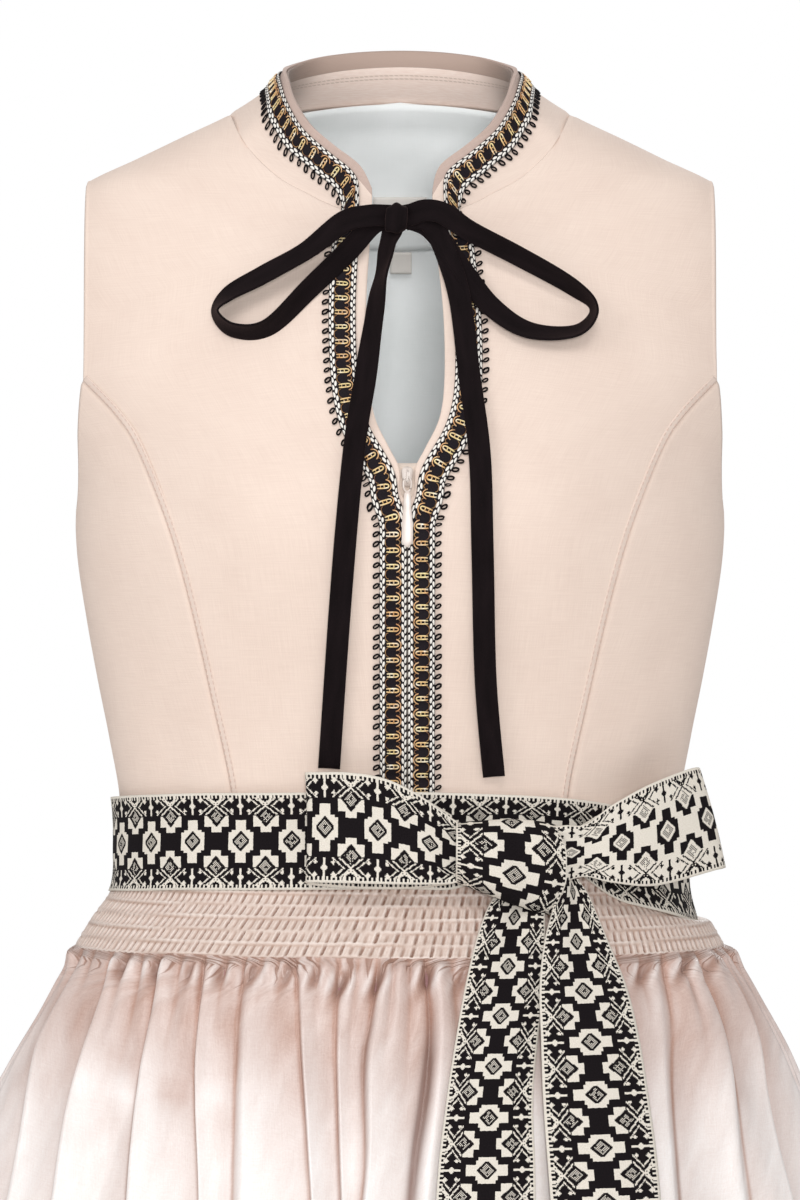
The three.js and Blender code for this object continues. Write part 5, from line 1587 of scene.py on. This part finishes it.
def bowKnot():
    # a flattened ring of ribbon round the roots, drawn in at its top and soft on its face
    share = np.linspace(0, 1, ribbon["knotColumns"] + 1)
    x, y, deep, top, low = along(knotLines, share).T[:, None]
    # round from the middle of its back
    angle = np.linspace(np.pi, np.pi + turnRound, ribbon["knotRows"] + 1)[:-1, None]
    middle, tall = (top + low) / 2, (top - low) / 2
    around = np.sin(angle)
    z = middle + tall * np.sign(around) * np.abs(around) ** 0.8
    y = y - deep * np.cos(angle)
    face = np.clip(np.cos(angle), 0, 1)
    s = share[None]
    # its lower end leans towards the wearer's right, where the ribbon runs on into the tail
    x = x - 7.5 * ease(middle - z, 2, 26) * s ** 1.5 - 5.5 * ease(z - middle, 8, 24) * s ** 2
    slant = s + 0.13 * np.sin(angle)
    softFolds = 1.9 * np.sin(2.2 * np.pi * slant + 0.4) + 0.9 * np.sin(5.3 * np.pi * slant + 1.3)
    pinch = 2.2 * bell(s - 0.5, 0.33) * np.clip(around, 0, 1) ** 2
    y = y - face * 0.8 * softFolds + face * pinch
    ring = stacked(x, y, z).swapaxes(0, 1)
    lengths = rowLengths(np.concatenate([ring, ring[:, :1]], 1)).mean(0)
    lengthwise = lengths - lengths[ribbon["knotRows"] // 2] + 6.0
    uv = stacked(lengthwise[None], (s.T - 0.5) * ribbon["wide"])
    piece = surface("belt_knot", ring, uv, ring=True, outward=ring - ring.mean(1, keepdims=True))
    thicken(piece, ribbon["wall"], offset=0.0, backSlot=1)
    finishPiece(piece, [ribbonFace, ribbonBack], "jacquard", "bow_knot")


# level, left edge, right edge and distance in front of the form
bowTailRows = {
    "right": [
        [-389, 48, 70, 9], [-400.4, 41.5, 70, 9], [-416, 36, 70, 8.5], [-436, 31, 69.8, 8],
        [-459, 26.6, 66, 9], [-489, 21.7, 63.2, 11], [-531, 17, 63.8, 13], [-620, 13.5, 61.8, 16],
        [-720, 11.5, 60, 18], [-812, 10, 58.5, 20],
    ],
    "left": [
        [-385, 78.5, 86, 17], [-392.5, 76.3, 91, 16], [-401, 73.3, 94.8, 14], [-416, 69.2, 101, 12.5],
        [-436, 66.8, 109, 12], [-459, 67.2, 114.5, 12.5], [-489, 68, 119, 13.5],
        [-531, 70.8, 123.4, 15], [-620, 77, 127.5, 17], [-720, 82, 131, 19], [-826, 84.5, 133.5, 21],
    ],
}


def bowTail(side, node, start):
    # a hanging strip between its two edges, with folds along it near the knot and ripples lower down
    rows = curve(bowTailRows[side], ribbon["tailRows"])
    share = np.linspace(0, 1, ribbon["tailColumns"] + 1)[None]
    z = rows[:, 0:1] + 0 * share
    x = rows[:, 1:2] * (1 - share) + rows[:, 2:3] * share
    down = ease(-z, 400, 470)
    ripple = 1.6 * np.sin(z / 33.0 + (0 if side == "right" else 2)) * (1 - 0.4 * share)
    lengthFold = (1 - down) * 1.6 * np.sin(2.6 * np.pi * share)
    lengthFold += 0.9 * np.sin(np.pi * share * 1.4 + z / 70.0)
    out = rows[:, 3:4] + ripple * down + lengthFold
    points = frontAt(x, z)
    points[..., 1] -= out
    across = (share - 0.5) * ribbon["wide"]
    ribbonPiece("bow_tail_" + side + "_ribbon", points, across, node,
                start, np.array([0, -1.0, 0]))


beltCloth()
bowKnot()
bowLoop("right", "bow_loop_right", 4.0)
bowLoop("left", "bow_loop_left", 16.0)
bowTail("right", "bow_tail_right", 10.0)
bowTail("left", "bow_tail_left", 20.0)
report("belt")

ties = {"wide": 10.5, "wall": 1.0, "crown": 0.5, "gripLong": 14}
# x, z, distance in front of the bodice and twist from facing forwards; then the rows and the length
velvetRows = {
    "tie_base_right": ([
        [-16.8, -63.5, 3.2, 0], [-13, -64, 6.5, 0], [-9.3, -64.8, 10.8, 0]], 24, 0.012),
    "tie_base_left": ([[18.4, -62.5, 3.2, 0], [13, -63.5, 6.5, 0], [7.4, -64.5, 10, 0]], 24, 0.0155),
    "tie_loop_right": ([
        [-1.5, -64, 10.5, 0], [-7.5, -63.6, 13, 0], [-16, -64, 15, 0], [-27.6, -67.2, 15, 0],
        [-46, -81.5, 13, 30], [-66, -92.5, 11, 36],
        [-83, -101.5, 10, 46], [-89.4, -110.5, 8, 72], [-81, -119.6, 6, 58], [-64, -118.5, 4.5, 40],
        [-44, -99.5, 4.5, 30], [-25.5, -81.5, 6.5, 15], [-13, -67.5, 9.5, 0], [-2.5, -64.5, 9, 0]],
        160, 0.24),
    "tie_loop_left": ([
        [0, -64, 10.5, 0], [5.5, -63.2, 13, 0], [12.5, -61.2, 15, 0], [21, -62.8, 15.5, 0],
        [33, -71, 14, 22], [57, -83.5, 12, 36],
        [84, -99, 10, 46], [94.2, -109, 8, 72], [85, -119.5, 6, 60], [62, -119.5, 4.5, 38],
        [44, -108, 4.5, 25], [29, -88.5, 6.5, 10], [15, -70, 9.5, 0], [2.5, -64.5, 9, 0]],
        160, 0.256),
    "tie_tail_right": ([
        [-3.4, -69.5, 9.5, 15], [-6, -78, 7.5, 45], [-9, -92, 6.4, 56],
        [-12.4, -112, 5.4, 38], [-16.5, -142, 4.4, 8],
        [-22, -178, 4, 0], [-28.5, -250, 4.2, 0], [-34.3, -331.5, 4.2, 0]], 160, 0.27),
    "tie_tail_left": ([
        [3, -65.5, 10.5, 0], [10, -65, 11.5, 0], [16.2, -69, 10.5, 0],
        [23, -84, 7, 0], [29, -105, 5, 0], [33.4, -142, 4.4, 0],
        [38.2, -181, 4.2, 0], [39.5, -226, 4, 0], [41.2, -287, 4.2, 0], [45.5, -335.6, 4.6, 0]],
        170, 0.285),
}


def velvetRibbon(name):
    # a line in front of the bodice carries a crowned strip, twisted about it as the table says
    rows, count, length = velvetRows[name]
    spots = curve(rows, count)
    middle = frontAt(spots[:, 0], spots[:, 1])
    middle[:, 1] -= spots[:, 2]
    ahead = unit(np.gradient(middle, axis=0))
    flat = unit(np.cross(ahead, [0, 1.0, 0]))
    twist = np.radians(spots[:, 3:4])
    wide = flat * np.cos(twist) + np.cross(ahead, flat) * np.sin(twist)
    face = np.cross(wide, ahead)
    share = np.linspace(-0.5, 0.5, 13)[None]
    across = share * ties["wide"]
    run = np.linspace(0, 1, count + 1)[:, None]
    wavy = 0.35 * np.sin(run * count / 5.0 + share * 2)
    crown = ties["crown"] * (1 - (2 * share) ** 2) + wavy
    rootward = bell(run * length / mm, ties["gripLong"])
    if "loop" in name:
        rootward += bell((1 - run) * length / mm, ties["gripLong"])
    crown += 0.7 * rootward * np.sin(3 * np.pi * share + 0.6)
    points = middle[:, None] + wide[:, None] * across[..., None] + face[:, None] * crown[..., None]
    lengthwise = columnLengths(points).mean(1)[:, None]
    piece = surface("velvet_" + name, points, stacked(lengthwise, across), outward=face[:, None])
    thicken(piece, ties["wall"], offset=0.0)
    finishPiece(piece, [velvet], "velvet", name)


# the soft knot's middle, its distance in front of the form, its size,
# the power of its section and the radius that its map is rolled out from
knot = {
    "x": -1.8, "z": -65.3, "out": 12.5, "wide": 11.0, "tall": 14.6, "deep": 9.5, "power": 3.2,
    "roll": 7.0}


def velvetKnot():
    # a closed soft roll, its section a superellipse, its ends drawn in, with two slanting folds
    k = knot
    u = np.linspace(0, turnRound, 65)[:-1][None, :]
    v = np.linspace(0, 1, 41)[:, None]
    swell = np.clip(1 - np.abs(2 * v - 1) ** 14, 0, 1) ** 0.35
    swell = swell * (0.9 + 0.1 * np.cos(turnRound * (v - 0.5)))
    squarer = (np.abs(np.cos(u)) ** k["power"] + np.abs(np.sin(u)) ** k["power"]) ** (-1 / k["power"])
    fold = 0.055 * np.cos(turnRound * (v * 1.6 + 0.18 * np.sin(u)) + 0.8)
    fold += 0.03 * np.sin(3 * u + 5 * v)
    size = squarer * swell * (1 + fold)
    middle = np.array([k["x"], frontAt(k["x"], k["z"])[1] - k["out"], k["z"]])
    x = middle[0] + (v - 0.5) * k["wide"] + 0.5 * np.sin(u) * swell
    y = middle[1] + k["deep"] / 2 * np.cos(u) * size
    z = middle[2] + k["tall"] / 2 * np.sin(u) * size
    points = stacked(x, y, z)
    uv = stacked(u * k["roll"], v * k["wide"])
    uv = np.concatenate([uv, uv[:, :1] + [turnRound * k["roll"], 0]], 1)
    piece = surface("velvet_knot", points, uv, ring=True, outward=points - middle)
    finishPiece(piece, [velvet], "velvet", "tie_knot")


velvetKnot()
for name in velvetRows:
    velvetRibbon(name)
report("velvet")

zipSizes = {
    "x": float(centreX(-190)), "z": -191, "wide": 5.6, "tall": 10, "deep": 3.8, "proud": 2.2,
    "bridgeReach": 4.0, "bridgeTall": 7.0, "bridgeThick": 0.55, "pullLong": 33.6, "pullWide": 5.4,
    "pullNeck": 3.2, "pullThick": 1.1, "axisOut": 1.6, "eyeWide": 1.85, "eyeTall": 3.5,
    "eyeThick": 0.52, "tapeHalf": 12, "tapeTop": -184, "tapeBottom": -366, "tapeWall": 0.7,
}


def enamelCoat():
    # a smooth pale coat with faint clouds
    material, tree, shader = newMaterial(
        "zipEnamel", "#dccfc7", 0.35, Coat_Weight=0.2, Coat_Roughness=0.2)
    place = objectMap(tree)
    color = blended((noise(place, (6.0, 6.0, 6.0)) - 0.35) * 2.4, "#d5c6bc", "#e6dcd5")
    coated(shader, color, noise(place, (0.8, 0.8, 0.8), 1.0), 0.04, 0.3)
    return material


enamel = enamelCoat()
sliderFace = float(frontAt(zipSizes["x"], zipSizes["z"])[1]) - zipSizes["proud"]


def closedLoft(name, rings, material, slotName, body, *nodes):
    # rings of points down a form, whose first and last rings are drawn together to close it
    rows, columns = rings.shape[:2]
    uv = stacked(np.linspace(0, 20, columns + 1), np.linspace(0, 30, rows)[:, None])
    piece = surface(name, rings, uv, ring=True, outward=rings - rings.mean(1, keepdims=True))
    shape = bmesh.new()
    shape.from_mesh(piece.data)
    bmesh.ops.remove_doubles(shape, verts=shape.verts, dist=1e-6)
    holes = [edge for edge in shape.edges if edge.is_boundary]
    if holes:
        bmesh.ops.holes_fill(shape, edges=holes)
    bmesh.ops.recalc_face_normals(shape, faces=shape.faces)
    shape.to_mesh(piece.data)
    shape.free()
    piece.data.polygons.foreach_set("use_smooth", [True] * len(piece.data.polygons))
    finishPiece(piece, [material], slotName, *nodes, body=body)


def superRings(middle, levels, widths, depths, power):
    # at each level a ring of |x|^power + |y|^power = 1, stretched to its width and depth
    angle = np.arange(28) * turnRound / 28
    c, s = np.cos(angle), np.sin(angle)
    radius = (np.abs(c) ** power + np.abs(s) ** power) ** (-1 / power)
    levels, widths, depths = levels[:, None], widths[:, None], depths[:, None]
    return stacked(middle[0] + c * radius * widths / 2, middle[1] + s * radius * depths / 2, levels)


def sliderBody():
    # a rounded block, wider above, with a small arched bridge on its face
    s = zipSizes
    share = np.linspace(0, 1, 25)
    closing = np.clip(1 - np.abs(2 * share - 1) ** 6, 0, 1) ** 0.5
    width = s["wide"] * (0.78 + 0.22 * ease(share, 0.25, 0.75)) * closing
    depth = s["deep"] * (0.25 + 0.75 * closing) * closing
    levels = s["z"] - s["tall"] / 2 + s["tall"] * share
    rings = superRings((s["x"], sliderFace + s["deep"] / 2), levels, width, depth, 3.6)
    closedLoft("zip_slider_body", rings, enamel, "enamel", "dress", "zip_slider")
    turn = np.linspace(0, np.pi, 23)
    path = stacked(
        s["x"], sliderFace - (s["bridgeReach"] - 0.6) * np.clip(np.sin(turn) * 1.5, 0, 1) + 0.3,
        s["z"] + (s["bridgeTall"] / 2 - 0.5) * np.cos(turn))
    bridge = addMesh("zip_bridge", *tubeAlong(path, s["bridgeThick"], 12))
    finishPiece(bridge, [enamel], "enamel")


def zipPull():
    # a drop-shaped blade, narrow under its eye and widest low down, with an eye round the bridge
    s = zipSizes
    axis = np.array([s["x"], sliderFace - s["axisOut"], s["z"] - 0.6])
    share = np.linspace(0, 1, 49)
    down = 6.3 + (s["pullLong"] - 6.6) * share
    width = s["pullNeck"] + (s["pullWide"] - s["pullNeck"]) * ease(share, 0.05, 0.72)
    closing = np.sqrt(np.clip(1 - ease(share, 0.84, 1.0) ** 2, 0, 1))
    closing = closing * np.sqrt(np.clip(share / 0.05, 0, 1))
    depth = s["pullThick"] * np.maximum(closing, 0.2) ** 0.5
    rings = superRings(axis, axis[2] - down, np.maximum(width * closing, 0.05), depth, 2.8)
    closedLoft("zip_pull_blade", rings, enamel, "enamel", "pull_tab", "zip_pull")
    turn = np.arange(36) * turnRound / 36
    up = np.sign(np.cos(turn)) * np.abs(np.cos(turn)) ** 0.8
    eye = stacked(axis[0] + s["eyeWide"] * np.sin(turn), axis[1], axis[2] - 3.0 + s["eyeTall"] * up)
    loop = addMesh("zip_pull_eye", *tubeAlong(eye, s["eyeThick"], 10, closed=True))
    finishPiece(loop, [enamel], "enamel", body="pull_tab")


def zipTape():
    # a strip behind the front edges, with slight ribs along it
    z = np.linspace(zipSizes["tapeBottom"], zipSizes["tapeTop"], 61)[:, None]
    share = np.linspace(-1, 1, 25)[None]
    grid = turnedAt(centreX(z) + share * zipSizes["tapeHalf"], z)
    piece = surface("zip_tape_cloth", onForm(grid, -2.2 - 0.25 * np.cos(share * 9)))
    thicken(piece, zipSizes["tapeWall"])
    finishPiece(piece, [tapeCloth], "zip_tape", "zip_tape")


sliderBody()
zipPull()
zipTape()
report("zip")

# the studio in metres, and how bright its pale surroundings are
studio = {
    "floorZ": -1.062, "floorRadius": 1.4, "world": 0.56, "eyeY": -2.65, "eyeZ": -0.25, "lens": 106.0}
# each light's place, the point it looks at, its width and its power
lights = {
    "frontLight": ((0.15, -3.4, -0.08), (0, 0, -0.25), 0.6, 37.0),
    "upperLight": ((0.1, -2.3, 1.6), (0, -0.1, -0.4), 1.2, 16.0),
    "sideLight": ((-1.7, -1.7, 0.9), (-0.25, 0, -0.8), 1.0, 11.5),
    "backLight": ((0.6, 2.6, 1.3), (0, 0, -0.3), 1.8, 22.0),
}


def floorDisc():
    # a flat pale disc
    angle = np.arange(96) * turnRound / 96
    rim = stacked(np.cos(angle), np.sin(angle), studio["floorZ"] / studio["floorRadius"])
    floor = addMesh("studio_floor", rim * studio["floorRadius"] / mm, [list(range(96))], smooth=False)
    floor.data.materials.append(newMaterial("studioFloor", "#f2f0ee", 0.9)[0])


def softLight(name, place, aim, size, power):
    # a disc of light that looks from its place towards the aim
    light = bpy.data.lights.new(name, "AREA")
    light.shape = "DISK"
    light.size = size
    light.energy = power
    lamp = bpy.data.objects.new(name, light)
    bpy.context.scene.collection.objects.link(lamp)
    lamp.location = place
    away = np.array(place, float) - np.array(aim, float)
    lamp.rotation_euler = (
        math.atan2(math.hypot(away[0], away[1]), away[2]), 0, math.atan2(away[0], -away[1]))


def paleWorld():
    # plain white to the camera, and softer as a light
    world = bpy.data.worlds.new("paleStudio")
    bpy.context.scene.world = world
    world.use_nodes = True
    tree = world.node_tree
    tree.nodes.clear()
    path, mix, output = (
        tree.nodes.new("ShaderNode" + kind) for kind in ("LightPath", "MixShader", "OutputWorld"))
    tree.links.new(path.outputs["Is Camera Ray"], mix.inputs[0])
    looks = (((0.98, 0.99, 1, 1), studio["world"]), ((1, 1, 1, 1), 1.0))
    for place, (color, strength) in enumerate(looks, 1):
        background = tree.nodes.new("ShaderNodeBackground")
        background.inputs["Color"].default_value = color
        background.inputs["Strength"].default_value = strength
        tree.links.new(background.outputs[0], mix.inputs[place])
    tree.links.new(mix.outputs[0], output.inputs[0])


floorDisc()
for name, values in lights.items():
    softLight(name, *values)
paleWorld()
view = bpy.context.scene.view_settings
view.view_transform = "Standard"
view.look = "None"

camera = bpy.data.cameras.new("frontCamera")
camera.sensor_fit = "VERTICAL"
camera.sensor_height = 24.0
camera.lens = studio["lens"]
camera.clip_end = 30
eye = bpy.data.objects.new("frontCamera", camera)
bpy.context.scene.collection.objects.link(eye)
eye.location = (0, studio["eyeY"], studio["eyeZ"])
eye.rotation_euler = (math.radians(90), 0, 0)
bpy.context.scene.camera = eye
report("studio")

bpy.context.view_layer.update()
